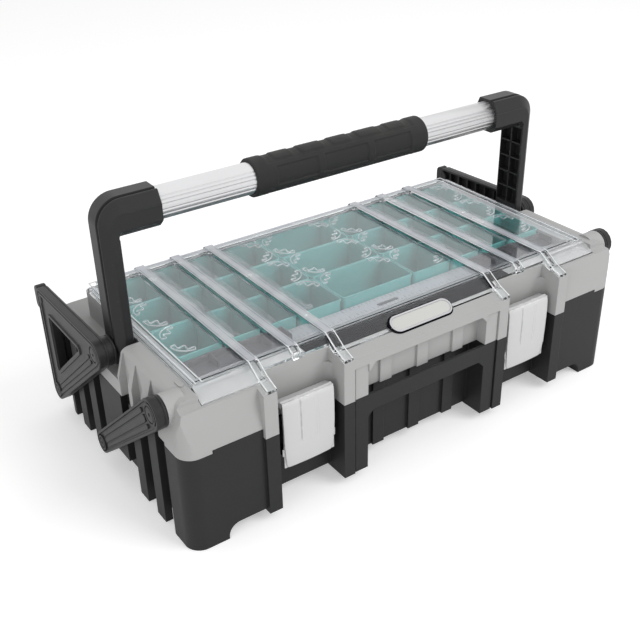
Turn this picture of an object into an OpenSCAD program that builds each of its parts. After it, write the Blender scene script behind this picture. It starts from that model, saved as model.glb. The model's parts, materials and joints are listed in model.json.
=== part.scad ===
// Cantilever tool case: a deep black base, a grey organiser case with removable cups on four swinging
// links, a clear lid, two front latches and a fold-down carrying handle.
// X runs along the length, -Y is the front, Z is up. The origin is the middle of the footprint on the floor.

/* [Case] */
// Length over the end faces
case_len = 539; // [500:1:560]
// Front of the pillars, measured from the rear link pivot line
front_y = 152; // [146:0.5:156]
// Back face of the base and of the rear ledge
back_y = 146; // [143:0.5:150]
// How far the corner blocks stand behind the pillars
block_set = 3.5; // [1:0.5:6]
// How far the front of the corner blocks leans back above the seam
front_lean = 7; // [0:0.5:9]
// How far the back wall is set in between its fins
back_set = 5; // [3:0.5:6]
// Spacing of the fins on the back wall
fin_pitch = 72; // [66:1:76]
// Width of each fin on the back wall
fin_w = 20; // [14:1:26]
// Places of the upright ribs in the finger recess
rib_x = [-46, 0, 46];
// Width of each upright rib
rib_w = 14; // [10:1:18]
// Depth of the latch bays and of the finger recess behind the pillars
bay_depth = 25; // [22:0.5:30]
// Radius of the front corners in plan
front_r = 16; // [10:1:32]
// Radius of the rear corners in plan
rear_r = 24; // [16:1:28]

/* [Base] */
// Height of the base rim at the ends and the back
rim_z = 105; // [100:0.5:110]
// Height of the base rim between the corner blocks at the front
front_rim_z = 95.5; // [90:0.5:100]
// Wall thickness of the base
wall = 3.5; // [2.5:0.1:4.5]
// Height of the underside above the floor between the feet
foot_h = 14; // [12:0.5:18]
// Thickness of the base floor
floor_t = 4; // [2.5:0.5:6]
// Depth of the upright grooves in the end walls
groove_d = 7.5; // [4:0.5:8]
// Width of each groove
groove_w = 19; // [14:0.5:22]
// Spacing of the grooves
groove_pitch = 36; // [30:1:40]
// Start of the first front groove
groove_front_y = -113; // [-118:1:-108]
// Start of the first rear groove
groove_rear_y = 28; // [22:1:34]
// Height of the gap under the flat end panel
panel_lift = 26; // [18:1:30]
// Height of the lower ends of the pillars above the floor
pillar_z = 10; // [4:0.5:14]
// Inner end of the feet under the front corners
foot_x = 232; // [226:1:240]
// Height of the arch beside each front foot
notch_h = 15; // [12:0.5:22]
// Radius of the arch beside each front foot
notch_r = 12; // [4:0.5:14]
// Lower edge of the front bar
bar_z = 77; // [70:1:82]
// Thickness of the front bar
bar_t = 4.5; // [3:0.5:8]

/* [Pillars] */
// Inner face of the centre pillars
pillar_in = 75; // [66:1:80]
// Outer face of the centre pillars
pillar_mid = 104; // [98:1:108]
// Inner face of the outer pillars
pillar_out = 176; // [172:1:180]
// Inner edge of the proud strip on the centre pillars
strip_in = 91.5; // [88:0.5:95]
// How far the rest of a centre pillar stands behind its strip
strip_step = 1.5; // [0.5:0.1:2.5]
// Start of the corner blocks
block_x = 190; // [188:1:198]
// Thickness of the pillar walls
pillar_wall = 3.5; // [2.5:0.5:5]

/* [Organiser case] */
// Gap between the organiser case and the base rim
seam_gap = 0.5; // [0.3:0.1:1]
// Top of the shoulders
shoulder_z = 154; // [152:0.5:155]
// Rear end of the shoulders
shoulder_back = -23; // [-28:0.5:-21]
// How far the shoulders lean in from the end faces
shoulder_lean = 6; // [3:0.5:9]
// Width of the rounded outer edge along the top of the shoulders
shoulder_round = 9.5; // [4:0.5:12]
// Height of the rounded outer edge along the top of the shoulders
shoulder_drop = 6; // [3:0.5:8]
// Height of the flat side band, where the shoulder starts to lean in
band_z = 127; // [122:1:132]
// Top of the rear ledge
ledge_z = 122; // [118:0.5:122.5]
// Distance from an end face in to the upper wall under the lid
side_w = 27.5; // [26:0.5:32]
// Back face of the rear wall under the lid
well_back = 111; // [109:0.5:111.5]
// Top of the rim that the lid rests on
seat_z = 151; // [149:0.5:152]
// Floor of the cup well
well_z = 108.5; // [107:0.5:120]
// Height of the ruler shelf in front of the cups
shelf_z = 140; // [132:0.5:143]
// Skin thickness of the case
skin = 3; // [2.2:0.1:4]
// Front edge of the ruler shelf
shelf_front = -92; // [-98:1:-88]
// Width of each pointed recess in the shoulders
gusset_w = 19; // [12:1:22]
// Front ends of the pointed recesses
gusset_y = [-102.5, -72, -45.5];
// Height of the top of the grip recess
grip_top = 131; // [122:1:134]
// Depth of the grip recess in the organiser case
grip_d = 14; // [8:1:20]
// Width and height of the bevelled upper corners of the grip recess
recess_bevel = 8; // [4:0.5:12]
// Radius of the round corners at the back of the latch bays
scoop_r = 8; // [4:0.5:10]
// Height at which the latch bays turn square
scoop_z = 134; // [128:0.5:138]
// How far the case hangs lower at its front corners
corner_drop = 3.5; // [2:0.5:5]
// Inner end of that lower part
corner_x = 241; // [236:1:248]
// Places of the oval bumps on the shoulders
bump_xy = [246.7, -107.6];
// Length of each oval bump
bump_l = 12; // [8:0.5:16]

/* [Cups] */
// Inner edges of the cup columns, from the middle outwards
col_x = [45.5, 98.5, 139.5, 180];
// Distance of the outermost cups from the upper end walls
cup_side = 12.5; // [8:0.5:16]
// Front edge of the cup field
cups_front = -70.5; // [-74:0.5:-68]
// Back edge of the cup field
cups_back = 98.5; // [90:0.5:99.5]
// Number of rows
rows = 3; // [2:1:4]
// Gap between neighbouring cups
cup_gap = 0.8; // [0.5:0.1:2]
// Gap between the outer cups and the well
well_gap = 0.6; // [0.3:0.1:2]
// Height of a cup
cup_h = 44.5; // [30:0.5:45]
// Wall of a cup
cup_wall = 1.4; // [1:0.1:2.5]
// Floor of a cup
cup_floor = 1.5; // [1:0.1:3]
// Corner radius of a cup
cup_r = 4; // [2:0.5:8]

/* [Lid] */
// Top of the lid plate
lid_z = 157; // [156:0.5:158]
// Thickness of the lid plate
lid_t = 2.2; // [1.6:0.1:2.4]
// Front edge of the flat top
lid_front = -121; // [-124:0.5:-116]
// Front and lower edge of the slope at the corners and the middle
slope_y = -137.5; // [-140:0.5:-134]
// Height of the lower edge of the slope
slope_z = 147; // [146:0.5:150]
// Height of the flange's front edge below the slope's lower edge
flange_drop = 5.5; // [4.5:0.5:7]
// Thickness of a strap's foot on the flange
foot_t = 3; // [2:0.5:4]
// Front edge of the lid over the latch bays
bay_edge_y = -128; // [-131:0.5:-125]
// Middles of the straps
strap_x = [98.5, 139.5, 181];
// Width of a strap
strap_w = 10; // [7:0.5:13]
// How far the feet of the long straps stand behind the pillars' faces
strap_set = 0; // [0:0.1:2]
// Wall of a strap at its sides and its top
strap_wall = 2; // [1.5:0.1:2.5]
// Height of a strap above the plate
strap_h = 3.5; // [2:0.5:4.5]
// Height of the lid hinge line
hinge_z = 151; // [150:0.5:152]
// Distance of the lid hinge line in front of the rear wall's back face
hinge_in = 4.5; // [4:0.5:5]
// Radius of the lid knuckles
knuckle_r = 4; // [3.2:0.1:4.2]
// Radius of the lid hinge rod
rod_r = 1.5; // [1:0.1:2]
// Gap between the lid and what it closes on
lid_gap = 0.3; // [0.2:0.1:0.8]

/* [Badge and ruler] */
// Length of the badge face
badge_l = 71; // [60:1:100]
// Width of the badge face
badge_w = 14; // [12:0.5:22]
// Width of the rim round the badge
badge_rim_w = 2; // [1:0.5:3]
// Thickness of the badge rim
badge_t = 3; // [2:0.5:5]
// Half length of the ruler
ruler_hx = 118; // [100:1:125]
// Thickness of the ruler
ruler_t = 1.4; // [1:0.1:2.5]
// Half length of the black band
band_hx = 128; // [118:1:134]
// Lower edge of the black band on the flange
band_y = -132; // [-134:0.5:-128]
// Thickness of the black band
band_t = 2; // [1.2:0.1:3]
// Depth of the black band's face below the lid's seat
band_drop = 1; // [0.6:0.1:2]
// Run of the slope from the ruler shelf up to the front flange
shelf_run = 18; // [14:1:22]
// Length of the slot in the ruler
slot_l = 27; // [15:1:40]
// Width of the slot in the ruler
slot_w = 6; // [4:0.5:8]

/* [Links] */
// Height of the upper pivots
hub_z = 142; // [140:0.5:144]
// Height of the lower pivots
low_z = 31; // [28:0.5:34]
// Distance of the lower pivots behind the upper ones
link_dy = 133.1; // [130:0.1:136]
// Distance of the front pivots in front of the rear ones
link_pitch = 117.4; // [112:0.1:122]
// Thickness of a link
link_t = 11; // [8:0.5:14]
// Gap between the links and the case
link_gap = 1; // [0.5:0.1:2]
// Radius of the upper hub
hub_r = 15; // [12:0.5:16]
// How much smaller the boss on the case is than the hub that runs on it
boss_in = 0.5; // [0:0.1:1]
// Radius of the lower end
low_r = 11.5; // [10:0.5:13]
// Radius of the pivot pins
pin_r = 4; // [3:0.5:5]
// Gap between the end of a pin and the skin of its link
pin_end_gap = 0.4; // [0.2:0.1:0.6]
// Radius of the spacers beside the handle arms
spacer_r = 8; // [6:0.5:8.5]
// Gap between a spacer and its arm
spacer_gap = 0.5; // [0.3:0.1:1]
// Gap between the hub of a triangular link and the handle arm
arm_gap = 0.6; // [0.4:0.1:1]
// Running clearance of a bore round its pin
run_gap = 0.06; // [0.02:0.01:0.1]
// Rear edge of the triangular links
tri_back = 152; // [148:0.5:152]
// Width of the frame along the top of a triangular link
tri_top_w = 26; // [20:1:30]
// Width of the frame along the back of a triangular link
tri_back_w = 28; // [20:1:32]
// Height of the top edge of a triangular link above its hub
tri_rise = 11; // [9:0.5:13]
// Depth of the outlines and rings moulded in the links
line_d = 1.2; // [0.6:0.1:2]

/* [Handle] */
// Height of the bar above its pivots
bar_rise = 131.5; // [125:0.5:131.5]
// Gap between the upper end walls and the handle arms
arm_side = 3.5; // [2.5:0.5:4.5]
// Thickness of an arm
arm_t = 17; // [14:0.5:18]
// Width of an arm, front to back
arm_w = 34; // [28:1:34]
// Bevel along the edges of the arms and sleeves
arm_bevel = 5; // [2:0.5:7]
// Outer radius of an elbow
elbow_r = 24; // [16:1:30]
// Inner end of a sleeve
sleeve_in = 203; // [190:1:215]
// Height of a sleeve
sleeve_h = 36; // [34:1:38]
// Radius of the tube
tube_r = 15.5; // [13:0.5:16]
// Radius of the flutes along the tube
flute_r = 1.5; // [0.8:0.1:1.6]
// Half length of the grip
grip_hx = 104; // [80:1:120]
// Thickness of the grip on the tube
grip_t = 3; // [2:0.5:3.2]
// Height of the pads on the grip
pad_h = 0.8; // [0.4:0.1:1]
// Depth of the pockets in the inner face of an arm
pocket_d = 10; // [4:1:12]
// Number of pockets up an arm
pockets = 6; // [4:1:8]

/* [Latches] */
// Width of a latch
latch_w = 56; // [48:1:62]
// Lower edge of a latch
latch_low = 48.5; // [47:0.5:50]
// Upper edge of a latch
latch_top = 121; // [115:1:124]
// Thickness of a latch
latch_t = 3; // [2:0.5:4]
// How far the latch face stands behind the pillars
latch_set = 4; // [3:0.5:8]
// Height of the latch pivot
latch_pz = 56.5; // [55:0.5:58]
// Distance of the latch pivot in front of the bay wall
latch_py = 12; // [11:0.5:13.5]
// Radius of the latch pin
latch_pin_r = 2; // [1.5:0.1:2.5]
// Radius of the latch barrel
barrel_r = 4.5; // [4:0.1:5.5]
// Half length of the latch barrel
barrel_hx = 16; // [10:1:18]
// Height of the catch on the organiser case
catch_z = 106.5; // [104:0.5:107]
// Thickness of the catch
catch_t = 3; // [2:0.5:3.5]
// How far the catch stands out of the bay wall
catch_out = 9; // [7:0.5:10]
// Distance of the hook's edge in front of the bay wall
hook_y = 6; // [4:0.5:8]
// Thickness of the hook
hook_t = 4; // [3:0.5:5]
// Height of the folded lip above the hook
lip_h = 3; // [2:0.5:4]

/* [Hidden] */
$fn = 48;
eps = 0.01;
case_hx = case_len / 2;
shoulder_hx = case_hx - shoulder_lean;
well_hx = case_hx - side_w;
arm_in = well_hx + arm_side;
cup_hx = well_hx - cup_side;
fy = -front_y;
bay_y = fy + bay_depth;
block_y = fy + block_set;
link_in = case_hx + link_gap;
link_out = link_in + link_t;
pin_out = link_out - 1.5;
front_hub_y = -link_pitch;
front_low_y = link_dy - link_pitch;
arm_out = arm_in + arm_t;
bar_z0 = hub_z + bar_rise;
grip_r = tube_r + grip_t;
bay_x = (pillar_mid + pillar_out) / 2;
latch_y = fy + latch_set;
latch_axis_y = bay_y - latch_py;
hinge_y = well_back - hinge_in;
seam_z = rim_z + seam_gap;
front_seam_z = front_rim_z + seam_gap;
lid_tilt = atan((lid_z - slope_z) / (lid_front - slope_y));
slope_len = (lid_z - slope_z) / sin(lid_tilt);
col_edges = concat(col_x, [cup_hx]);
edges_x = concat([for (i = [len(col_edges) - 1 : -1 : 0]) -col_edges[i]], col_edges);
cup_d = (cups_back - cups_front) / rows;
n_cols = len(edges_x) - 1;

// Plan outlines and helpers

// Rectangle in plan with round front and rear corners.
module plan(hx, y0, y1, rf, rb) {
    polygon([[-hx + rf, y0], [hx - rf, y0], [hx, y0 + rf], [hx, y1 - rb],
             [hx - rb, y1], [-hx + rb, y1], [-hx, y1 - rb], [-hx, y0 + rf]]);
    for (s = [-1, 1]) {
        translate([s * (hx - rf), y0 + rf]) circle(r = rf, $fn = 96);
        translate([s * (hx - rb), y1 - rb]) circle(r = rb, $fn = 96);
    }
}

// Box given by its corners.
module box(a, b) { translate(a) cube(b - a); }

// The same shape on both sides.
module both() { children(); mirror([1, 0, 0]) children(); }

// One side: s is 1 on the right and -1 on the left.
module side(s) { mirror([s < 0 ? 1 : 0, 0, 0]) children(); }

// A side view drawn in (y, z), from x0 to x1.
module yz(x0, x1) {
    translate([x0, 0, 0]) rotate([90, 0, 90]) linear_extrude(x1 - x0) children();
}

// A front view drawn in (x, z), from y0 to y1.
module xz(y0, y1) {
    translate([0, y1, 0]) rotate([90, 0, 0]) linear_extrude(y1 - y0) children();
}

// Cylinder along X.
module rod(x0, x1, y, z, r, fn = 48) {
    translate([x0, y, z]) rotate([0, 90, 0]) cylinder(r = r, h = x1 - x0, $fn = fn);
}

// Outline of a bar that tapers from radius ra at a to radius rb at b, with round ends.
module taper_bar(a, ra, b, rb, n = 20) {
    d = norm(b - a);
    t = atan2(b[1] - a[1], b[0] - a[0]);
    k = acos((ra - rb) / d);
    polygon(concat(
        [for (i = [0 : n]) let (w = t + k + i * (360 - 2 * k) / n) a + ra * [cos(w), sin(w)]],
        [for (i = [0 : n]) let (w = t - k + i * 2 * k / n) b + rb * [cos(w), sin(w)]]));
}

// Outline of a triangular link: the bar from a to b with the frame above and behind it.
module link_outline(a, b, top, n = 20) {
    d = norm(b - a);
    t = atan2(b[1] - a[1], b[0] - a[0]);
    k = acos((hub_r - low_r) / d);
    w0 = asin((top - a[1]) / hub_r);
    polygon(concat(
        [for (i = [0 : n]) let (w = w0 + i * (360 + t - k - w0) / n) a + hub_r * [cos(w), sin(w)]],
        [for (i = [0 : n]) let (w = (t - k) * (1 - i / n)) b + low_r * [cos(w), sin(w)]],
        [[tri_back - 7, top - 34], [tri_back, top - 24], [tri_back, top - 8], [tri_back - 12, top]]));
}

// Rounded slot along x.
module slot2(l, w) {
    square([l - w, w], center = true);
    for (s = [-1, 1]) translate([s * (l - w) / 2, 0]) circle(d = w);
}

// Base

module base_ends() {
    // fins left standing between the grooves of one end
    y0 = groove_front_y; y1 = groove_rear_y;
    difference() {
        linear_extrude(rim_z) plan(case_hx, block_y, back_y, front_r, rear_r);
        // between the corner blocks only the walls behind remain
        box([-block_x, block_y - 1, -1], [block_x, bay_y + eps, rim_z + 1]);
        both() {
            for (i = [0 : 2]) {
                box([case_hx - groove_d, y0 + i * groove_pitch, -1],
                    [case_hx + 1, y0 + i * groove_pitch + groove_w, rim_z + 1]);
                box([case_hx - groove_d, y1 + i * groove_pitch, -1],
                    [case_hx + 1, y1 + i * groove_pitch + groove_w, rim_z + 1]);
            }
            // gap under the flat panel
            box([case_hx - groove_d, y0 + 2 * groove_pitch + groove_w - eps, -1],
                [case_hx + 1, y1 + eps, panel_lift]);
            // arch between the corner foot and the outer pillar
            xz(block_y - 1, bay_y) {
                translate([block_x, -1]) square([foot_x - block_x, notch_h + 1 - notch_r]);
                translate([block_x, -1]) square([foot_x - notch_r - block_x, notch_h + 1]);
                translate([foot_x - notch_r, notch_h - notch_r]) circle(r = notch_r);
            }
            // room for the lower front corners of the case
            box([corner_x, block_y - 1, rim_z - corner_drop], [case_hx + 1, y0 + eps, rim_z + 1]);
        }
        // the back is set in between five upright fins
        for (i = [-3 : 2])
            box([i * fin_pitch + fin_w / 2, back_y - back_set, -1],
                [(i + 1) * fin_pitch - fin_w / 2, back_y + 1, rim_z + 1]);
        // underside between the feet
        box([-case_hx + groove_d, bay_y - eps, -1], [case_hx - groove_d, back_y - back_set, foot_h]);
    }
}

// The part of a centre pillar behind its strip, with a groove along the strip.
module strip_relief(z0, z1) {
    box([pillar_in - eps, fy - 1, z0], [strip_in, fy + strip_step, z1]);
    box([strip_in - 1.6, fy - 1, z0], [strip_in, fy + strip_step + 1, z1]);
}

module base_pillar(x0, x1) {
    box([x0, fy, pillar_z], [x1, bay_y + wall, front_rim_z]);
}

module base_tub() color([0.17, 0.17, 0.18]) difference() {
    union() {
        base_ends();
        both() {
            base_pillar(pillar_in, pillar_mid);
            base_pillar(pillar_out, block_x + eps);
            // pads round the lower link pivots
            for (y = [front_low_y, link_dy])
                rod(case_hx - groove_d - wall, case_hx + link_gap / 2, y, low_z, low_r - 0.5);
            // lugs of the latch
            for (s = [-1, 1]) yz(bay_x + s * (barrel_hx + 3.5) - 2.5, bay_x + s * (barrel_hx + 3.5) + 2.5)
                taper_bar([bay_y + 2, latch_pz], barrel_r, [latch_axis_y, latch_pz], barrel_r, 10);
        }
        // the finger bar across the middle, with bevelled ends
        xz(fy + strip_step, fy + bar_t) {
            translate([-pillar_in, bar_z]) square([2 * pillar_in, front_rim_z - bar_z]);
            for (s = [-1, 1])
                polygon([[s * pillar_in, bar_z], [s * (pillar_in - 7), bar_z], [s * pillar_in, bar_z - 7]]);
        }
        // upright ribs on the recessed wall
        for (x = rib_x) box([x - rib_w / 2, bay_y - 3, foot_h], [x + rib_w / 2, bay_y + 1, front_rim_z]);
    }
    // inside
    translate([0, 0, foot_h + floor_t])
        linear_extrude(rim_z) plan(case_hx - groove_d - wall, bay_y + wall, back_y - back_set - wall, 14, 16);
    both() {
        box([block_x + pillar_wall, block_y + wall + 6, notch_h + floor_t],
            [case_hx - front_r, bay_y + wall + 6, rim_z + 1]);
        box([pillar_out + pillar_wall, fy + pillar_wall, foot_h + floor_t],
            [block_x - pillar_wall, bay_y + wall + 1, rim_z]);
        box([pillar_in + pillar_wall, fy + pillar_wall, foot_h + floor_t],
            [pillar_mid - pillar_wall, bay_y + wall + 1, rim_z]);
        for (y = [front_low_y, link_dy])
            rod(case_hx - groove_d - wall + 1, case_hx + link_gap, y, low_z, pin_r);
        rod(bay_x - barrel_hx - 7, bay_x + barrel_hx + 7, latch_axis_y, latch_pz, latch_pin_r);
        strip_relief(-1, front_rim_z + 1);
    }
    // low front rim between the corner blocks
    box([-block_x - seam_gap, fy - 1, front_rim_z], [block_x + seam_gap, bay_y + wall + 8, rim_z + 1]);
}

module base_pin(s, y) color([0.55, 0.56, 0.58])
    side(s) rod(case_hx - groove_d - wall + 1.5, pin_out, y, low_z, pin_r);

module latch_pin(s) color([0.55, 0.56, 0.58])
    side(s) rod(bay_x - barrel_hx - 6, bay_x + barrel_hx + 6, latch_axis_y, latch_pz, latch_pin_r);

// Organiser case

// Cross section of the front half with its shoulders.
module shoulder_section() {
    // half of the section, from the seam up the lean and round the outer edge
    half = concat([[case_hx, seam_z], [case_hx, band_z]],
        [for (i = [0 : 6]) let (w = i * 15)
            [shoulder_hx - shoulder_round * (1 - cos(w)), shoulder_z - shoulder_drop * (1 - sin(w))]]);
    polygon(concat(half, [for (i = [len(half) - 1 : -1 : 0]) [-half[i][0], half[i][1]]]));
}

// Cross section of the rear half: the ledge and the walls under the lid.
module ledge_section() {
    translate([-case_hx, seam_z]) square([2 * case_hx, ledge_z - seam_z]);
    translate([-well_hx, seam_z]) square([2 * well_hx, seat_z - seam_z]);
}

// Side view of the front, with the flange that slopes down from the lid to the pillars.
module front_profile(y0, z0, foot_z) {
    polygon([[y0, foot_z], [shoulder_back, foot_z], [shoulder_back, shoulder_z + 1],
             [slope_y + 4, shoulder_z + 1], [slope_y + 4, slope_z - lid_gap + 2],
             [slope_y, slope_z - lid_gap], [y0, z0]]);
}

// Block round the front corners, set in by d.
module corner_plan(d, e) {
    intersection() {
        translate([0, 0, seam_z - corner_drop + e]) linear_extrude(corner_drop - 2 * e + eps)
            plan(case_hx - d, block_y + d, back_y, front_r - d, rear_r);
        both() box([corner_x + seam_gap, block_y - 1, seam_z - corner_drop - 2],
                   [case_hx + 1, groove_front_y - seam_gap, seam_z + 3]);
    }
}

module case_front() {
    // corner blocks and shoulders
    difference() {
        intersection() {
            xz(block_y, shoulder_back) shoulder_section();
            linear_extrude(200) plan(case_hx, block_y, back_y, front_r, rear_r);
            yz(-case_hx, case_hx) front_profile(block_y, slope_z - 1.5, seam_z);
        }
        // the front leans back
        yz(-case_hx - 1, case_hx + 1) polygon([[block_y - 1, seam_z + 2], [block_y, seam_z + 2],
            [block_y + front_lean, slope_z], [block_y + front_lean, 200], [block_y - 1, 200]]);
        // lower between the blocks
        yz(-block_x, block_x) polygon([[fy, flange_z(fy)], [slope_y, slope_z - lid_gap], [slope_y, 200], [fy, 200]]);
    }
    // rims that hang lower round the front corners
    difference() {
        corner_plan(0, 0);
        corner_plan(skin, -1);
    }
    // pillars, the flange over the grip recess and the walls behind the bays
    intersection() {
        box([-block_x, fy, front_seam_z], [block_x, bay_y + skin, shoulder_z]);
        yz(-block_x, block_x) front_profile(fy, slope_z - flange_drop, front_seam_z);
    }
    both() {
        // bosses of the front pivots
        rod(shoulder_hx - 12, case_hx + link_gap / 2, front_hub_y, hub_z, hub_r - boss_in, 96);
    }
}

module case_rear() {
    intersection() {
        xz(shoulder_back - eps, back_y) ledge_section();
        union() {
            linear_extrude(ledge_z) plan(case_hx, block_y, back_y, front_r, rear_r);
            linear_extrude(seat_z) plan(well_hx, -60, well_back, 5, 6);
        }
    }
    both() {
        // spacer bosses beside the handle arms
        rod(well_hx - 5, arm_in - spacer_gap, 0, hub_z, spacer_r);
    }
}

// Hollows under the case, open downwards.
module case_under() {
    low = front_seam_z - 1;
    both() {
        // under the shoulders
        box([well_hx - 4, block_y + 16, low], [shoulder_hx - skin - 1.5, shoulder_back - skin, hub_z - hub_r - 6]);
        box([well_hx - 4, shoulder_back - skin - eps, low], [case_hx - skin - 1, back_y - skin - 6, ledge_z - skin]);
        // the pillars are open at the bottom
        box([pillar_in + pillar_wall, fy + pillar_wall, low], [pillar_mid - pillar_wall, bay_y + 10, slope_z - 12]);
        box([pillar_out + pillar_wall, fy + pillar_wall, low], [block_x - pillar_wall, bay_y + 10, slope_z - 12]);
        box([block_x + skin, block_y + front_lean + skin, low], [case_hx - front_r, bay_y + 10, slope_z - 12]);
    }
    // behind the front wall, under the ruler shelf
    box([-well_hx + 4 + eps, bay_y + skin, low], [well_hx - 4 - eps, cups_front - well_gap - skin, shelf_z - skin]);
    // under the rear ledge
    box([-well_hx + 4 - eps, well_back + skin, low], [well_hx - 4 + eps, back_y - skin, ledge_z - skin]);
    // below the cup well
    box([-well_hx + skin + 4, cups_front - well_gap - skin - eps, low],
        [well_hx - skin - 4, well_back + skin + eps, well_z - 2]);
}

module latch_bay() {
    // recess for a latch, with round back corners low down
    r = scoop_r;
    hw = (pillar_out - pillar_mid) / 2;
    translate([bay_x, 0, front_seam_z - 1]) linear_extrude(scoop_z - front_seam_z + 1 + eps) {
        translate([-hw, fy - 1]) square([2 * hw, bay_depth + 1 - r]);
        translate([-hw + r, fy]) square([2 * hw - 2 * r, bay_depth]);
        for (s = [-1, 1]) translate([s * (hw - r), bay_y - r]) circle(r = r);
    }
    box([pillar_mid, fy - 1, scoop_z], [pillar_out, bay_y, 200]);
}

module organiser_case() color([0.66, 0.66, 0.65]) difference() {
    union() {
        difference() {
            union() { case_front(); case_rear(); }
            case_under();
            both() latch_bay();
            // grip recess with bevelled upper corners
            xz(fy - 1, fy + grip_d) polygon([[-pillar_in, front_seam_z - 1], [pillar_in, front_seam_z - 1],
                [pillar_in, grip_top - recess_bevel], [pillar_in - recess_bevel, grip_top],
                [-pillar_in + recess_bevel, grip_top], [-pillar_in, grip_top - recess_bevel]]);
            both() strip_relief(front_seam_z - 1, grip_top);
            // pointed recesses in the shoulders
            both() {
                for (y = gusset_y) yz(shoulder_hx - 1.5, case_hx + 2)
                    polygon([[y, seam_z - 1], [y + gusset_w, seam_z - 1], [y + gusset_w, shoulder_z - 2],
                             [y, band_z + 10]]);
            }
        }
        // ribs in the grip recess
        for (x = rib_x) box([x - rib_w / 2, fy + grip_d - 2.5, front_seam_z], [x + rib_w / 2, fy + grip_d + 1, grip_top]);
        // catches for the latches
        both() box([bay_x - 18, bay_y - catch_out, catch_z], [bay_x + 18, bay_y + 1, catch_z + catch_t]);
        // oval bumps on the shoulders
        both() translate([bump_xy[0], bump_xy[1], shoulder_z - 1]) rotate([0, 0, 90]) linear_extrude(1.8)
            slot2(bump_l, bump_l * 0.45);
        // ears of the lid hinge
        both() for (x = strap_x) for (s = [-1, 1])
            yz(x + s * (strap_w / 2 + 3.5) - 2.5, x + s * (strap_w / 2 + 3.5) + 2.5)
                taper_bar([hinge_y, hinge_z - 6], 4, [hinge_y, hinge_z], knuckle_r - 0.4, 10);
    }
    // cup well
    box([-cup_hx - well_gap, cups_front - well_gap, well_z], [cup_hx + well_gap, cups_back + well_gap, 200]);
    // ruler shelf and the slope in front of it
    yz(-cup_hx - well_gap, cup_hx + well_gap)
        polygon([[cups_front, shelf_z], [shelf_front, shelf_z], [shelf_front - shelf_run, seat_z - band_drop],
                 [lid_front - 2, seat_z - band_drop], [lid_front - 2, 200], [cups_front, 200]]);
    // room for the lid between the shoulders
    box([-well_hx - 0.7, lid_front - 3, seat_z], [well_hx + 0.7, shoulder_back + 1, 200]);
    yz(-well_hx - 0.7, well_hx + 0.7)
        polygon([[lid_front - 2, seat_z - band_drop], [slope_y - 1.2, under_z(slope_y - 1.2)], [slope_y - 1.2, 200],
                 [lid_front - 2, 200]]);
    // pockets of the lid knuckles
    both() for (x = strap_x) box([x - strap_w / 2 - 0.8, hinge_y - knuckle_r - 1, hinge_z - knuckle_r - 1],
                                 [x + strap_w / 2 + 0.8, well_back + 1, 200]);
    both() {
        rod(shoulder_hx - 9, case_hx + link_gap, front_hub_y, hub_z, pin_r);
        rod(well_hx - 8, arm_in, 0, hub_z, pin_r);
    }
    rod(-strap_x[2] - strap_w - 2, strap_x[2] + strap_w + 2, hinge_y, hinge_z, rod_r);
    // pocket of the black band behind the badge
    badge_band_shape();
    badge_pocket();
}

module case_pin_front(s) color([0.55, 0.56, 0.58])
    side(s) rod(shoulder_hx - 8.5, pin_out, front_hub_y, hub_z, pin_r);

module case_pin_rear(s) color([0.55, 0.56, 0.58])
    side(s) rod(well_hx - 7.5, pin_out, 0, hub_z, pin_r);

module ruler() color([0.8, 0.8, 0.8]) difference() {
    box([-ruler_hx, shelf_front + 1, shelf_z], [ruler_hx, cups_front - 1, shelf_z + ruler_t]);
    translate([0, (shelf_front + cups_front) / 2 - 3, shelf_z - 1]) linear_extrude(ruler_t + 2) slot2(slot_l, slot_w);
}

// Height of the flange under the lid's slope at y.
function under_z(y) = seat_z - band_drop
    - (lid_front - 2 - y) * (seat_z - band_drop - slope_z + lid_gap + lid_t + 1) / (lid_front - 2 - slope_y + 1.2);

// Black band let into the flange behind the badge, cut back where the latch bays are.
module badge_band_shape() {
    y0 = shelf_front - shelf_run - 1;
    top = seat_z - band_drop;
    difference() {
        yz(-band_hx, band_hx)
            polygon([[y0, top - band_t], [lid_front - 2, top - band_t], [band_y, under_z(band_y) - band_t],
                     [band_y, under_z(band_y)], [lid_front - 2, top], [y0, top]]);
        both() box([pillar_mid - 1, fy, 0], [band_hx + 1, bay_y + 1.5, 200]);
    }
}

// Room round the badge in the flange and the band.
module badge_pocket() {
    on_slope(slope_len - 3, -2.5) linear_extrude(20) slot2(badge_l + 2 * badge_rim_w + 3, badge_w + 2 * badge_rim_w + 3);
}

module badge_band() color([0.08, 0.08, 0.08]) difference() {
    badge_band_shape();
    badge_pocket();
}

module lid_rod() color([0.6, 0.6, 0.62])
    rod(-strap_x[2] - strap_w - 1, strap_x[2] + strap_w + 1, hinge_y, hinge_z, rod_r);

// Cups

module cup(c, r) color([0.25, 0.62, 0.58]) {
    x0 = edges_x[c] + cup_gap / 2;
    x1 = edges_x[c + 1] - cup_gap / 2;
    y0 = cups_front + r * cup_d + cup_gap / 2;
    y1 = y0 + cup_d - cup_gap;
    translate([(x0 + x1) / 2, 0, well_z]) difference() {
        linear_extrude(cup_h) plan((x1 - x0) / 2, y0, y1, cup_r, cup_r, $fn = 32);
        translate([0, 0, cup_floor]) linear_extrude(cup_h)
            plan((x1 - x0) / 2 - cup_wall, y0 + cup_wall, y1 - cup_wall, cup_r - cup_wall, cup_r - cup_wall);
    }
}

// Lid

// Side view of the lid's skin with its lower edge at y.
module lid_skin(y) {
    z = lid_z - (lid_front - y) * tan(lid_tilt);
    polygon([[hinge_y - knuckle_r - 2, lid_z], [lid_front, lid_z], [y, z],
             [y, z - lid_t - 0.4], [lid_front + 0.6, lid_z - lid_t], [hinge_y - knuckle_r - 2, lid_z - lid_t]]);
}

// Height of the flange's top at y, in front of the slope.
function flange_z(y) = slope_z - lid_gap - (slope_y - y) * (flange_drop - lid_gap) / (slope_y - fy);

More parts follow.
